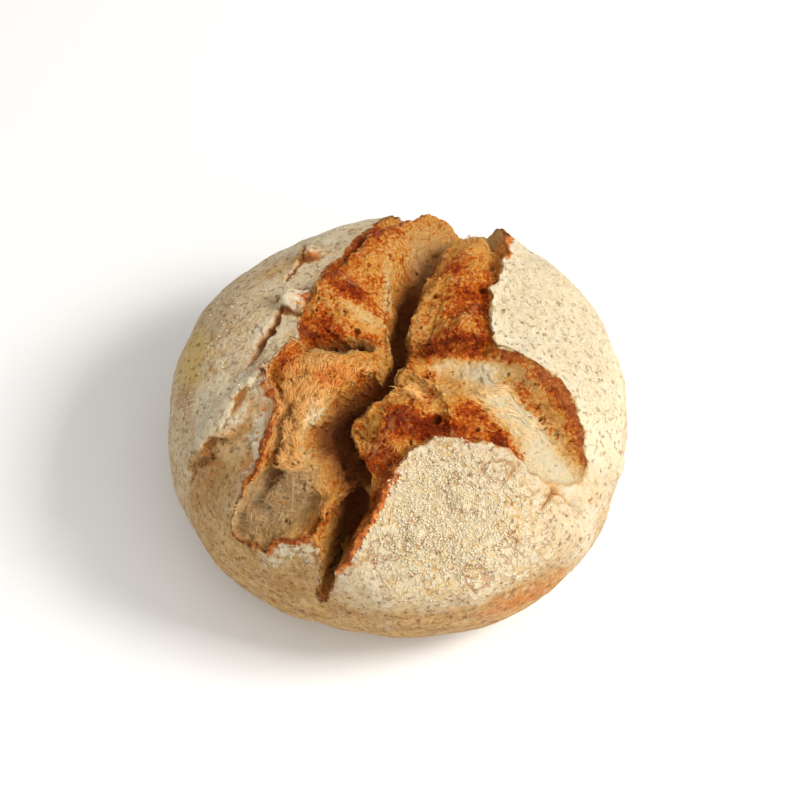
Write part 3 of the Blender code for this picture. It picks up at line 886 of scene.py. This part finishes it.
def mesh_normals(mesh):
    """The normals of a mesh's vertices."""
    normals = np.zeros(len(mesh.vertices) * 3, np.float32)
    mesh.vertices.foreach_get("normal", normals)
    return normals.reshape(-1, 3).astype(float)


def set_places(mesh, points):
    """Puts a mesh's vertices at points given in millimetres."""
    mesh.vertices.foreach_set("co", (points * MM).astype(np.float32).ravel())
    mesh.update()


def bare_mesh(name, ball, points):
    """A mesh of the ball's squares with its vertices at these points."""
    bmesh.ops.recalc_face_normals(ball, faces=ball.faces)
    mesh = bpy.data.meshes.new(name)
    ball.to_mesh(mesh)
    ball.free()
    set_places(mesh, points)
    return mesh


def dressed_mesh(name, ball, made, shift, in_tear):
    """A mesh of the skin with its fine relief and shares, and what the scattered things need of it."""
    points, seen, distance, on_crust, inward, drop = made
    points = points + shift
    mesh = bare_mesh(name, ball, points)
    normals = mesh_normals(mesh)
    flow, away = flow_places(seen, points)
    flour = flour_share(seen, points, distance)
    crumb, crust = crumb_relief(seen, points, flow, inward), crust_relief(seen, points, flour)
    relief = (1.0 - on_crust) * crumb + on_crust * crust
    low, high, depth = CRUMB_UNDER_CRUST if in_tear else BODY_UNDER_CRUMB
    sunk = depth * smooth_step(distance if in_tear else -distance, low, high)
    off_base = smooth_step(points[:, 2], *PLAIN_BASE)
    points = points + normals * ((relief - sunk) * off_base)[:, None]
    points[:, 2] = np.maximum(points[:, 2], 0.0)
    set_places(mesh, points)
    mesh.shade_smooth()
    shares = surface_shares(seen, distance, inward, drop, flour, relief)
    store_shares(mesh, shares)
    layer = mesh.attributes.new("flow", "FLOAT_VECTOR", "POINT")
    layer.data.foreach_set("vector", (flow * MM).astype(np.float32).ravel())
    return mesh, points, mesh_normals(mesh), away, shares


def roll_skins():
    """The body's mesh and the torn crumb's two finer ones, left and right of the main rift."""
    ball, directions = fine_ball()
    made = skin(directions, fray=True)
    low, high = made[0].min(axis=0), made[0].max(axis=0)
    shift = np.array([-(low[0] + high[0]) / 2.0, -(low[1] + high[1]) / 2.0, WIDEST_LEVEL])
    in_tear = made[2] < CRUMB_MARGIN
    apart, _, run = nearest_on_path(made[1], MAIN_RIFT)
    left = side_of(apart, run) > 0.0
    skins = []
    for name, side in (("crumb_left", left), ("crumb_right", ~left)):
        patch, patch_directions = cut_out(ball, directions, in_tear & side)
        patch_directions = halved(patch, patch_directions, 0)
        skins.append(dressed_mesh(name, patch, skin(patch_directions, fray=True), shift, True))
    return [dressed_mesh("roll_body", ball, made, shift, False)] + skins


def linear(red, green, blue):
    """A colour given as on a screen, from 0 to 255, as the linear colour that a shader takes."""
    shares = [c / 255.0 for c in (red, green, blue)]
    return tuple(c / 12.92 if c <= 0.04045 else ((c + 0.055) / 1.055) ** 2.4 for c in shares) + (1.0,)


FLOUR_WHITE = linear(220, 210, 190)
FLOUR_CREAM = linear(217, 196, 150)
GAP_TAN = linear(222, 180, 100)
CRUST_TAN = linear(210, 170, 112)
CRUST_OCHRE = linear(172, 130, 78)
CRUST_BAKED = linear(196, 124, 62)
CRUST_YELLOW = linear(222, 190, 116)
CRUST_LINE = linear(172, 104, 52)
CRACK_BROWN = linear(132, 78, 36)
CRUMB_GOLD = linear(242, 166, 66)
# The pale crumb's own colour, also used for painted highlights on its ridges and specks.
CRUMB_PALE_AND_HIGHLIGHT = linear(255, 216, 146)
CRUMB_CREAM = linear(255, 234, 194)
CRUMB_GREY = linear(204, 172, 126)
# Painted shade: the colour for the crumb's pits and hollows, and a darker one for deep down in the rifts.
PAINTED_CRUMB_SHADE = linear(156, 76, 18)
PAINTED_RAVINE_SHADE = linear(110, 47, 9)
RIM_GOLD = linear(216, 134, 62)
RIM_BROWN = linear(164, 76, 26)

# The torn crumb's colour as it browns: (share, colour), from 0 to 1.
BROWNING = (
    (0.0, CRUMB_GOLD),
    (0.25, linear(236, 144, 44)),
    (0.5, linear(218, 108, 22)),
    (0.75, linear(186, 74, 12)),
    (1.0, linear(140, 48, 8)),
)

# Feature sizes of the noise in the materials, in millimetres.
BROAD = 4.5
BLOTS = 1.8
FINE = 0.8
SPECKS = 0.7
ROUGH = 1.2
GRANULES = 1.5
CLUMPED = 6.0
CRUMB_CELLS = 1.7
FLOUR_CRACKS = 7.5
WORM_GAPS = 3.4

# How high the bumps are, in millimetres, and the sockets of each shader that stay the same all over.
SKIN_BUMP = 0.9
DRESSING_BUMP = 0.1
SKIN_SOCKETS = {
    "Specular IOR Level": 0.17,
    "Subsurface Weight": 0.2,
    "Subsurface Radius": (1.0, 0.65, 0.4),
    "Subsurface Scale": 0.8 * MM,
}
STRAND_SOCKETS = {"Roughness": 0.6, "Specular IOR Level": 0.3}
GRAIN_SOCKETS = {"Roughness": 0.9, "Specular IOR Level": 0.2}
FLOOR_SOCKETS = {"Base Color": linear(240, 240, 240), "Roughness": 0.9, "Specular IOR Level": 0.1}


def worked_out(tree, kind, sockets=None, output=0, **settings):
    """The value that a new shader node gives, with its settings, and its sockets linked or set."""
    node = tree.nodes.new(kind)
    for name, setting in settings.items():
        setattr(node, name, setting)
    for key, value in (sockets or {}).items():
        if isinstance(value, Value):
            tree.links.new(value.socket, node.inputs[key])
        else:
            node.inputs[key].default_value = value
    return Value(tree, node.outputs[output])


class Value:
    """A number, place or colour that a material works out all over its mesh."""

    def __init__(self, tree, socket):
        self.tree = tree
        self.socket = socket

    def worked(self, operation, second=0.0, third=0.0):
        """One step of arithmetic."""
        return worked_out(self.tree, "ShaderNodeMath", {0: self, 1: second, 2: third}, operation=operation)

    def __add__(self, other):
        return self.worked("ADD", other)

    def __mul__(self, other):
        return self.worked("MULTIPLY", other)

    def scaled(self, factor, offset):
        """The number times a factor, with an offset."""
        return self.worked("MULTIPLY_ADD", factor, offset)

    def centred(self, spread):
        """A number of about 0.5 turned into one of about 0, spread out."""
        return self.scaled(spread, -0.5 * spread)

    def rise(self, low, high, top=1.0):
        """0 below low, top above high, and a smooth rise between, also when low is above high."""
        sockets = {"Value": self, "From Min": low, "From Max": high, "To Min": 0.0, "To Max": top}
        return worked_out(self.tree, "ShaderNodeMapRange", sockets, interpolation_type="SMOOTHSTEP")

    def between(self, first, second):
        """The first colour turned into the second by this share."""
        return worked_out(self.tree, "ShaderNodeMix", {0: self, 6: first, 7: second}, 2, data_type="RGBA")

    def share(self, name, output="Fac"):
        """The named share of the vertices, in the same material as these places."""
        return worked_out(self.tree, "ShaderNodeAttribute", output=output, attribute_name=name)

    def stretched(self, *factors):
        """Places with each axis times its factor."""
        return worked_out(self.tree, "ShaderNodeVectorMath", {0: self, 1: factors}, operation="MULTIPLY")

    def noise(self, size, detail=3.0, roughness=0.55, output=0):
        """Noise from 0 to 1 at these places, whose features are size millimetres across."""
        sockets = {"Vector": self, "Scale": 1.0 / (size * MM), "Detail": detail, "Roughness": roughness}
        return worked_out(self.tree, "ShaderNodeTexNoise", sockets, output)

    def shaken(self, size, amount):
        """Places shifted about by amount millimetres, in waves that are size millimetres across."""
        shift = self.noise(size, detail=2.0, roughness=0.5, output=1)
        sockets = {0: shift, 1: (2.0 * amount * MM,) * 3, 2: self}
        return worked_out(self.tree, "ShaderNodeVectorMath", sockets, operation="MULTIPLY_ADD")

    def seams(self, size, width):
        """1 along the borders of crooked cells that are size millimetres across, 0 from width cells off."""
        sockets = {"Vector": self.shaken(size * 0.6, size * 0.35), "Scale": 1.0 / (size * MM)}
        edge = worked_out(self.tree, "ShaderNodeTexVoronoi", sockets, "Distance", feature="DISTANCE_TO_EDGE")
        return edge.rise(width, width * 0.2)


def new_material(name, sockets):
    """A node material with these sockets set on its shader, and that shader."""
    material = bpy.data.materials.new(name)
    material.use_nodes = True
    shader = material.node_tree.nodes["Principled BSDF"]
    for key, value in sockets.items():
        shader.inputs[key].default_value = value
    return material, shader


def places_in(material):
    """The places that a material's textures read."""
    return worked_out(material.node_tree, "ShaderNodeTexCoord", output="Object")


def link(value, shader, name):
    """Links a value to a shader's socket."""
    value.tree.links.new(value.socket, shader.inputs[name])


def bumped(height, depth):
    """The normal over bumps of this height, times a depth in millimetres."""
    sockets = {"Height": height, "Strength": 1.0, "Distance": depth * MM}
    return worked_out(height.tree, "ShaderNodeBump", sockets)


def baked_crumb(heat):
    """The browned crumb's colour at a heat from 0 to 1."""
    ramp = worked_out(heat.tree, "ShaderNodeValToRGB", {"Fac": heat}, "Color")
    elements = ramp.socket.node.color_ramp.elements
    elements[0].color = BROWNING[0][1]
    elements[1].position, elements[1].color = BROWNING[-1]
    for position, colour in BROWNING[1:-1]:
        elements.new(position).color = colour
    return ramp


def crumb_colour(places, flow, seams):
    """The torn crumb: golden, pale where it tore last, orange to burnt where it baked, with painted shade in
    pits and hollows and painted highlights on ridges and specks.
    """
    relief, hollow, grey = [places.share(name) for name in ("relief", "hollow", "grey")]
    broad = places.noise(BROAD, detail=4.0, roughness=0.6)
    blots = places.noise(BLOTS, detail=4.0, roughness=0.7)
    fine = places.noise(FINE, detail=3.0, roughness=0.7)
    specks = places.noise(SPECKS, detail=2.0, roughness=0.6)
    fibres = flow.noise(FINE, detail=4.0, roughness=0.6)
    drawn_out = fibres.centred(1.0) * places.share("fibrous").rise(0.1, 0.9, 2.2)
    mottled = broad.centred(1.4) + blots.centred(1.2) + fine.centred(1.0)
    # The pale crumb gives way where the hollows get painted shade.
    pale = places.share("pale") * hollow.rise(0.5, 0.0)
    colour = (pale + mottled + drawn_out).rise(-0.3, 0.9).between(CRUMB_GOLD, CRUMB_PALE_AND_HIGHLIGHT)
    creamy = pale + fine.centred(1.4) + blots.centred(1.8)
    colour = creamy.rise(0.3, 1.2).between(colour, CRUMB_CREAM)
    colour = (grey * 0.8).between(colour, CRUMB_GREY)
    # Ridges and bright specks brown less, and dark specks more, as part of their painted highlights and
    # painted shade.
    heat = (
        places.share("browned").scaled(0.6, -0.03)
        + pale * -0.5
        + grey * -0.5
        + broad.centred(1.0)
        + blots.centred(1.5)
        + fine.centred(0.9)
        + seams * 0.12
        + relief * -0.15
        + drawn_out * 0.3
        + specks.centred(-1.3)
    )
    # Painted highlights on bright specks, and painted shade in the pits of dark ones.
    colour = specks.rise(0.54, 0.68, 0.5).between(colour, CRUMB_PALE_AND_HIGHLIGHT)
    colour = (specks + pale * 0.08).rise(0.45, 0.32, 0.35).between(colour, PAINTED_CRUMB_SHADE)
    colour = heat.rise(0.08, 0.42).between(colour, baked_crumb(heat))
    # Painted highlight on the ridges of the relief, and painted shade in its pits.
    colour = relief.rise(-0.8, 0.3, 0.4).between(colour, CRUMB_PALE_AND_HIGHLIGHT)
    colour = relief.rise(-1.2, -2.1, 0.65).between(colour, PAINTED_CRUMB_SHADE)
    # Painted shade in the hollows, darkest down in the rifts.
    colour = hollow.rise(0.15, 0.65, 0.5).between(colour, PAINTED_CRUMB_SHADE)
    return hollow.rise(0.5, 1.05, 0.85).between(colour, PAINTED_RAVINE_SHADE), heat


def crust_colour(places):
    """The crust under its flour: tan and ochre, orange where it baked harder, brown in its cracks."""
    broad = places.stretched(1.0, 1.0, 3.0).noise(12.0, detail=6.0, roughness=0.6)
    fine = places.noise(1.4, detail=5.0, roughness=0.7)
    colour = (broad + fine.centred(1.2)).rise(0.25, 0.75).between(CRUST_TAN, CRUST_OCHRE)
    baked = places.share("baked") + fine.centred(2.4) + broad.centred(1.4)
    colour = baked.rise(0.2, 1.1).between(colour, CRUST_BAKED)
    colour = places.share("yellow").rise(0.0, 0.8, 0.8).between(colour, CRUST_YELLOW)
    return places.share("cracked").rise(0.2, 0.9, 0.85).between(colour, CRACK_BROWN)


def worm_gaps(places, width):
    """Short crooked gaps between cakes of flour."""
    wander = places.noise(WORM_GAPS, detail=2.5, roughness=0.6)
    return wander.centred(1.0).worked("ABSOLUTE").rise(width, width * 0.2)


def flour_cover(places, granules, gap):
    """How much flour hides the crust: cracked cakes where it is thick, a thin veil elsewhere."""
    amount = (
        places.share("flour") * 1.35
        + places.noise(CLUMPED, detail=4.0, roughness=0.6).centred(0.9)
        + places.noise(BLOTS, detail=4.0, roughness=0.7).centred(0.9)
        + places.noise(FINE, detail=2.0).centred(0.65)
        + places.share("knobbly") * granules.rise(0.35, 0.5, 1.6)
        + gap * -0.7
        + places.share("cracked") * -1.2
    )
    return amount.rise(-0.15, 0.85)


def blister_rings(places):
    """Browned rings about the blisters, and a few long crooked cracks between cakes of flour."""
    blister = places.share("blister")
    edge = blister + places.noise(2.0).centred(1.0)
    ring = edge.rise(0.2, 0.36) * edge.rise(0.62, 0.46) * blister.rise(0.05, 0.25)
    here = places.noise(11.0).rise(0.5, 0.6) * places.share("crackled")
    return ring.worked("MAXIMUM", places.seams(FLOUR_CRACKS, 0.045) * here)


def rim_share(places):
    """How much of the browned rim shows, ragged where flour lies over it."""
    ragged = places.noise(1.6, detail=4.0, roughness=0.7).centred(2.2)
    return (places.share("rim") + ragged).rise(0.25, 0.75)


def crust_part(places, rim_colour):
    """The colour and the height of the floured crust."""
    granules = places.noise(GRANULES, detail=2.5, roughness=0.55)
    crumbly = (places.noise(CLUMPED, detail=3.0).rise(0.38, 0.62, 0.75) + 0.3) * places.share("crackled")
    gap = worm_gaps(places, 0.05).worked("MAXIMUM", granules.rise(0.52, 0.4, 0.8))
    gap = gap * crumbly.rise(0.0, 1.0, 1.1)
    rings = blister_rings(places)
    cover = flour_cover(places, granules, gap)
    powder = places.noise(4.0, detail=4.0).between(FLOUR_CREAM, FLOUR_WHITE)
    powder = (gap * 0.6).between(powder, GAP_TAN)
    colour = cover.between(crust_colour(places), powder)
    colour = (rings * 0.45).between(colour, CRUST_LINE)
    colour = rim_share(places).between(colour, rim_colour)
    rough = places.noise(ROUGH, detail=6.0, roughness=0.75) * places.share("flour").scaled(-0.3, 0.85)
    grainy = granules.rise(0.38, 0.62, 0.5) * crumbly
    return colour, rough + cover * 0.3 + grainy + rings * -0.4


def crumb_part(places, inward, rim_colour):
    """The colour, the height and the browning of the torn crumb."""
    flow = places.share("flow", "Vector").stretched(1.0, 0.2, 0.3)
    seams = places.seams(CRUMB_CELLS, 0.3)
    colour, heat = crumb_colour(places, flow, seams)
    lip = inward.rise(1.6, 0.5, 0.85) * places.share("pale").rise(0.9, 0.2)
    rough = places.noise(ROUGH, detail=6.0, roughness=0.75)
    fibres = flow.noise(0.6, detail=3.0) * places.share("fibrous")
    return lip.between(colour, rim_colour), rough * 2.8 + fibres * 1.8 + seams * -0.35, heat


def body_material():
    """Crust, flour, broken crust edge and torn crumb, told apart by the shares of the body's vertices."""
    material, shader = new_material("roll_crust_and_crumb", SKIN_SOCKETS)
    places = places_in(material)
    fray = places.noise(ROUGH, detail=4.0, roughness=0.65)
    inward = places.share("inward") + fray.centred(1.2)
    rim_colour = fray.rise(0.36, 0.6).between(RIM_GOLD, RIM_BROWN)
    crust, crust_height = crust_part(places, rim_colour)
    crumb, crumb_height, heat = crumb_part(places, inward, rim_colour)
    torn = inward.rise(0.05, places.share("pale").scaled(1.4, 0.35))
    height = worked_out(places.tree, "ShaderNodeMix", {0: torn, 2: crust_height, 3: crumb_height})
    gloss = torn * heat.rise(0.1, 0.6)
    link(torn.between(crust, crumb), shader, "Base Color")
    link(gloss.scaled(-0.36, 0.84), shader, "Roughness")
    link(bumped(height, SKIN_BUMP), shader, "Normal")
    return material


def add_piece(mesh, material):
    """Adds a mesh to the scene as a piece that rides with the roll."""
    mesh.materials.append(material)
    piece = bpy.data.objects.new(mesh.name, mesh)
    bpy.context.scene.collection.objects.link(piece)
    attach(piece, BODY_NAME)
    return piece


# Loose strands of torn crumb: how many, how long and thick, how much they stray, sway and rise as
# shares of their length, and the seed of their scatter. The webbed ones lie all ways in the pocket.
STRAND_RINGS = 7
STRAND_SIDES = 3
FRINGE = (4000, (1.4, 5.0), (0.05, 0.11), 0.2, 0.1, (-0.03, 0.08), 21)
WEB = (340, (3.0, 8.0), (0.045, 0.085), 0.9, 0.12, (-0.02, 0.1), 22)
STRAND_TUFT = 2.2

# The share of its full length that a strand has, how much of a half wave its bow is, and a direction
# that strands don't run along.
SHORTENED = (0.3, 1.0)
BOWED = 0.85
ODD_WAY = (0.31, 0.17, 0.93)


def drawn_vertices(draw, weights, count):
    """Vertex numbers drawn at random, more often where the weight is larger."""
    return draw.choice(len(weights), size=count, p=weights / weights.sum())


def tube_faces(tubes, rings, sides):
    """The quads round a number of tubes of rings x sides vertices, and the caps that shut them."""
    ring, side = np.meshgrid(np.arange(rings - 1), np.arange(sides), indexing="ij")
    ring, side = ring.ravel(), side.ravel()
    following = (side + 1) % sides
    near, far = ring * sides, (ring + 1) * sides
    quad = np.column_stack([near + side, near + following, far + following, far + side])
    start = np.arange(tubes)[:, None, None] * rings * sides
    quads = (start + quad[None]).reshape(-1, 4)
    last = (rings - 1) * sides
    bottoms = start[:, 0] + np.arange(sides)[::-1]
    tops = start[:, 0] + last + np.arange(sides)
    return quads.tolist() + bottoms.tolist() + tops.tolist()


def tube_points(centres, widths, sides):
    """Vertices of tubes along centres (tubes x rings x 3), each ring of its own width."""
    run = unit(np.gradient(centres, axis=1))
    aside = unit(np.cross(run, ODD_WAY))
    upright = np.cross(run, aside)
    turns = np.arange(sides) * (2.0 * math.pi / sides)
    ring = aside[:, :, None] * np.cos(turns)[:, None] + upright[:, :, None] * np.sin(turns)[:, None]
    return (centres[:, :, None] + ring * widths[:, :, None, None]).reshape(-1, 3)


def strand_mesh(name, kind, weights, points, normals, away, shares):
    """Fine strands of crumb, drawn out towards the main rift and lifted a little off the crumb."""
    count, lengths, widths, stray, sway, rises, seed = kind
    draw = np.random.default_rng(seed)
    roots = drawn_vertices(draw, weights, count)
    normal = normals[roots]
    drawn_out = away[roots] + stray * draw.normal(size=(count, 3))
    drawn_out = unit(drawn_out - normal * np.einsum("ij,ij->i", drawn_out, normal)[:, None])
    length = draw.uniform(*lengths, count) * draw.uniform(*SHORTENED, count)
    lifted = draw.uniform(*rises, count) * length
    share = np.linspace(0.0, 1.0, STRAND_RINGS)
    bow = np.sin(math.pi * BOWED * share)
    along = length[:, None] * (share - 0.5)
    centres = points[roots][:, None, :] + drawn_out[:, None, :] * along[:, :, None]
    centres += normal[:, None, :] * (lifted[:, None] * bow)[:, :, None]
    aside = unit(np.cross(normal, drawn_out)) * draw.normal(0.0, sway, count)[:, None]
    centres += aside[:, None, :] * (length[:, None] * np.sin(2.0 * math.pi * share))[:, :, None]
    thickness = draw.uniform(*widths, count)
    taper = thickness[:, None] * (0.25 + 0.75 * np.sin(math.pi * (0.1 + 0.8 * share)))[None, :]
    mesh = bpy.data.meshes.new(name)
    places = tube_points(centres, taper, STRAND_SIDES)
    mesh.from_pydata((places * MM).tolist(), [], tube_faces(count, STRAND_RINGS, STRAND_SIDES))
    mesh.shade_smooth()
    kept = {name: np.repeat(values[roots], STRAND_RINGS * STRAND_SIDES) for name, values in shares.items()}
    store_shares(mesh, kept)
    return mesh


def strand_weights(points, shares):
    """How likely each crumb vertex is to carry a fringe strand, and a strand of web."""
    deep_in = smooth_step(shares["inward"], 0.3, 1.2)
    tufts = np.clip(0.5 + 0.5 * gradient_noise(points, STRAND_TUFT, FIBRE_SHIFT), 0.0, 1.0)
    fringe = deep_in * shares["fibrous"] ** 1.5 * tufts**2
    # No fringe strands where the crumb carries the painted shade of its hollows.
    fringe *= 1.0 - smooth_step(shares["hollow"], -0.05, 0.1)
    return fringe, deep_in * smooth_step(shares["grey"], 0.8, 1.4)


def strand_material():
    """Strands in the crumb's colours, paler in the crescent and browner where the crumb is baked."""
    material, shader = new_material("crumb_strand", STRAND_SOCKETS)
    places = places_in(material)
    varied = places.noise(2.5)
    pale = places.share("pale")
    colour = varied.between(CRUMB_GOLD, CRUMB_PALE_AND_HIGHLIGHT)
    colour = (places.share("grey") * 0.6).between(colour, CRUMB_GREY)
    colour = pale.rise(0.5, 1.3, 0.7).between(colour, CRUMB_CREAM)
    heat = places.share("browned") * 0.6 + pale * -0.4 + varied.centred(1.0)
    link(heat.rise(0.0, 0.4, 0.85).between(colour, baked_crumb(heat)), shader, "Base Color")
    link(bumped(places.noise(0.3), DRESSING_BUMP), shader, "Normal")
    return material


# Grains and clumps of flour on the crust: how many, their half sizes, and the seed of their scatter.
GRAINS = (20000, (0.06, 0.16), 31)
CLUMPS = (2600, (0.16, 0.40), 32)
FLOUR_HEAP = 1.8

# Where grains thin out towards the rim and down to the base, how uneven they are, how far they stray
# from their vertex, and how far they stand out as a share of their size.
GRAIN_FREE_RIM = (51.6, 50.6)
GRAIN_LEVELS = (4.0, 12.0)
GRAIN_STRETCH = (0.6, 1.3)
GRAIN_UNEVENNESS = (0.8, 1.2)
GRAIN_JITTER = 0.25
GRAIN_RISE = 0.1

# The shape of a grain before it is made uneven.
OCTAHEDRON_POINTS = np.array(
    [(1, 0, 0), (-1, 0, 0), (0, 1, 0), (0, -1, 0), (0, 0, 1), (0, 0, -1)], float
)
OCTAHEDRON_FACES = np.array(
    [(0, 2, 4), (2, 1, 4), (1, 3, 4), (3, 0, 4), (2, 0, 5), (1, 2, 5), (3, 1, 5), (0, 3, 5)]
)


def turned(draw, count):
    """Random turning matrices."""
    first = unit(draw.normal(size=(count, 3)))
    second = unit(np.cross(first, draw.normal(size=(count, 3))))
    return np.stack([first, second, np.cross(first, second)], axis=2)


def grain_mesh(name, kind, weights, points, normals):
    """Grains of flour that lie on the crust, more of them where the weight is larger."""
    count, sizes, seed = kind
    draw = np.random.default_rng(seed)
    inside = smooth_step(flat_length(points), *GRAIN_FREE_RIM)
    roots = drawn_vertices(draw, weights * inside * smooth_step(points[:, 2], *GRAIN_LEVELS), count)
    size = draw.uniform(*sizes, count)
    scale = size[:, None] * draw.uniform(*GRAIN_STRETCH, (count, 3))
    shape = OCTAHEDRON_POINTS[None] * scale[:, None, :] * draw.uniform(*GRAIN_UNEVENNESS, (count, 6, 1))
    shape = np.einsum("gij,gpj->gpi", turned(draw, count), shape)
    jitter = draw.uniform(-GRAIN_JITTER, GRAIN_JITTER, (count, 3))
    jitter -= normals[roots] * np.einsum("ij,ij->i", jitter, normals[roots])[:, None]
    centres = points[roots] + jitter + normals[roots] * (size * GRAIN_RISE)[:, None]
    places = (centres[:, None, :] + shape).reshape(-1, 3)
    faces = (np.arange(count)[:, None, None] * 6 + OCTAHEDRON_FACES[None]).reshape(-1, 3)
    mesh = bpy.data.meshes.new(name)
    mesh.from_pydata((places * MM).tolist(), [], faces.tolist())
    mesh.shade_smooth()
    return mesh


def grain_weights(points, shares):
    """How likely each crust vertex is to carry a loose grain of flour, and a clump."""
    heaped = 0.5 + 0.5 * gradient_noise(points, FLOUR_HEAP, CLUMP_SHIFT)
    unbrowned = np.clip(1.0 - shares["rim"], 0.0, 1.0)
    scattered = unbrowned * smooth_step(shares["flour"], 0.7, 1.1) * np.clip(heaped, 0.05, 1.0)
    crackled = np.clip(shares["crackled"], 0.0, 1.0) ** 4
    return scattered, unbrowned * shares["flour"] * crackled * np.clip(heaped, 0.1, 1.0)


def grain_material():
    """Matt flour with a few browner grains."""
    material, shader = new_material("flour_grain", GRAIN_SOCKETS)
    places = places_in(material)
    colour = places.noise(3.0).between(FLOUR_CREAM, FLOUR_WHITE)
    brown = places.noise(1.1, detail=1.0).rise(0.68, 0.76, 0.7)
    link(brown.between(colour, CRUST_TAN), shader, "Base Color")
    link(bumped(places.noise(0.2), DRESSING_BUMP), shader, "Normal")
    return material


# The studio: the camera looks down on the front of the roll, and the key light stands at its right.
CAMERA_ELEVATION = 55.0
CAMERA_DISTANCE = 520.0
CAMERA_AIM = (0.16, 0.0, 28.0)
CAMERA_AIM_RISE = 3.7
SENSOR_WIDTH = 36.0
PICTURE_WIDTH = 800
LENS = 2296.0 * SENSOR_WIDTH / PICTURE_WIDTH
NEAREST_SEEN = 10.0

# The area lights: (name, power in watts, place and side in metres), and the pale world about them.
LIGHTS = (
    ("key", 4.75, (0.50, -0.10, 0.54), 0.24),
    ("front", 1.6, (0.34, -0.55, 0.48), 0.6),
)
WARM_WHITE = (1.0, 0.98, 0.95)
WORLD_STRENGTH = 0.66
FLOOR_SIDE = 6000.0


def look_from(thing, place, back):
    """Puts a camera or a light at a place, its back turned along back."""
    thing.location = place
    thing.rotation_mode = "QUATERNION"
    thing.rotation_quaternion = back.to_track_quat("Z", "Y")
    bpy.context.scene.collection.objects.link(thing)


def add_camera():
    """The camera at the angle from which the roll is seen."""
    tilt = math.radians(CAMERA_ELEVATION)
    back = Vector((0.0, -math.cos(tilt), math.sin(tilt)))
    upward = Vector((0.0, math.sin(tilt), math.cos(tilt)))
    data = bpy.data.cameras.new("camera")
    data.sensor_width = SENSOR_WIDTH
    data.lens = LENS
    data.clip_start = NEAREST_SEEN * MM
    camera = bpy.data.objects.new("camera", data)
    aim = (Vector(CAMERA_AIM) + upward * CAMERA_AIM_RISE) * MM
    look_from(camera, aim + back * CAMERA_DISTANCE * MM, back)
    bpy.context.scene.camera = camera


def add_lights():
    """Soft area lights and a pale world."""
    for name, power, place, side in LIGHTS:
        data = bpy.data.lights.new(name, "AREA")
        data.energy = power
        data.size = side
        data.color = WARM_WHITE
        look_from(bpy.data.objects.new(name, data), Vector(place), Vector(place))
    world = bpy.data.worlds.new("studio")
    world.use_nodes = True
    background = world.node_tree.nodes["Background"]
    background.inputs["Color"].default_value = WARM_WHITE + (1.0,)
    background.inputs["Strength"].default_value = WORLD_STRENGTH
    bpy.context.scene.world = world
    bpy.context.scene.view_settings.view_transform = "Standard"


def add_floor():
    """A plain pale floor under the roll."""
    floor_mesh = bpy.data.meshes.new("floor")
    half = FLOOR_SIDE * MM / 2.0
    corners = [(-half, -half, 0.0), (half, -half, 0.0), (half, half, 0.0), (-half, half, 0.0)]
    floor_mesh.from_pydata(corners, [], [(0, 1, 2, 3)])
    floor_mesh.materials.append(new_material("floor", FLOOR_SOCKETS)[0])
    floor = bpy.data.objects.new("floor", floor_mesh)
    bpy.context.scene.collection.objects.link(floor)


def add_roll():
    """The roll's body, its torn crumb, the strands on the crumb and the grains of flour."""
    skins = roll_skins()
    material = body_material()
    for mesh, *_ in skins:
        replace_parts(add_piece(mesh, material), NODE_NAME)
    (_, points, normals, _, shares), left, right = skins
    crumb = [np.concatenate(pair) for pair in zip(left[1:4], right[1:4])]
    crumb_shares = {name: np.concatenate([left[4][name], right[4][name]]) for name in shares}
    strand = strand_material()
    fringe, web = strand_weights(crumb[0], crumb_shares)
    add_piece(strand_mesh("crumb_strands", FRINGE, fringe, *crumb, crumb_shares), strand)
    add_piece(strand_mesh("crumb_web", WEB, web, *crumb, crumb_shares), strand)
    scattered, caked = grain_weights(points, shares)
    powder = grain_material()
    add_piece(grain_mesh("flour_grains", GRAINS, scattered, points, normals), powder)
    add_piece(grain_mesh("flour_clumps", CLUMPS, caked, points, normals), powder)


add_camera()
add_lights()
add_floor()
add_roll()
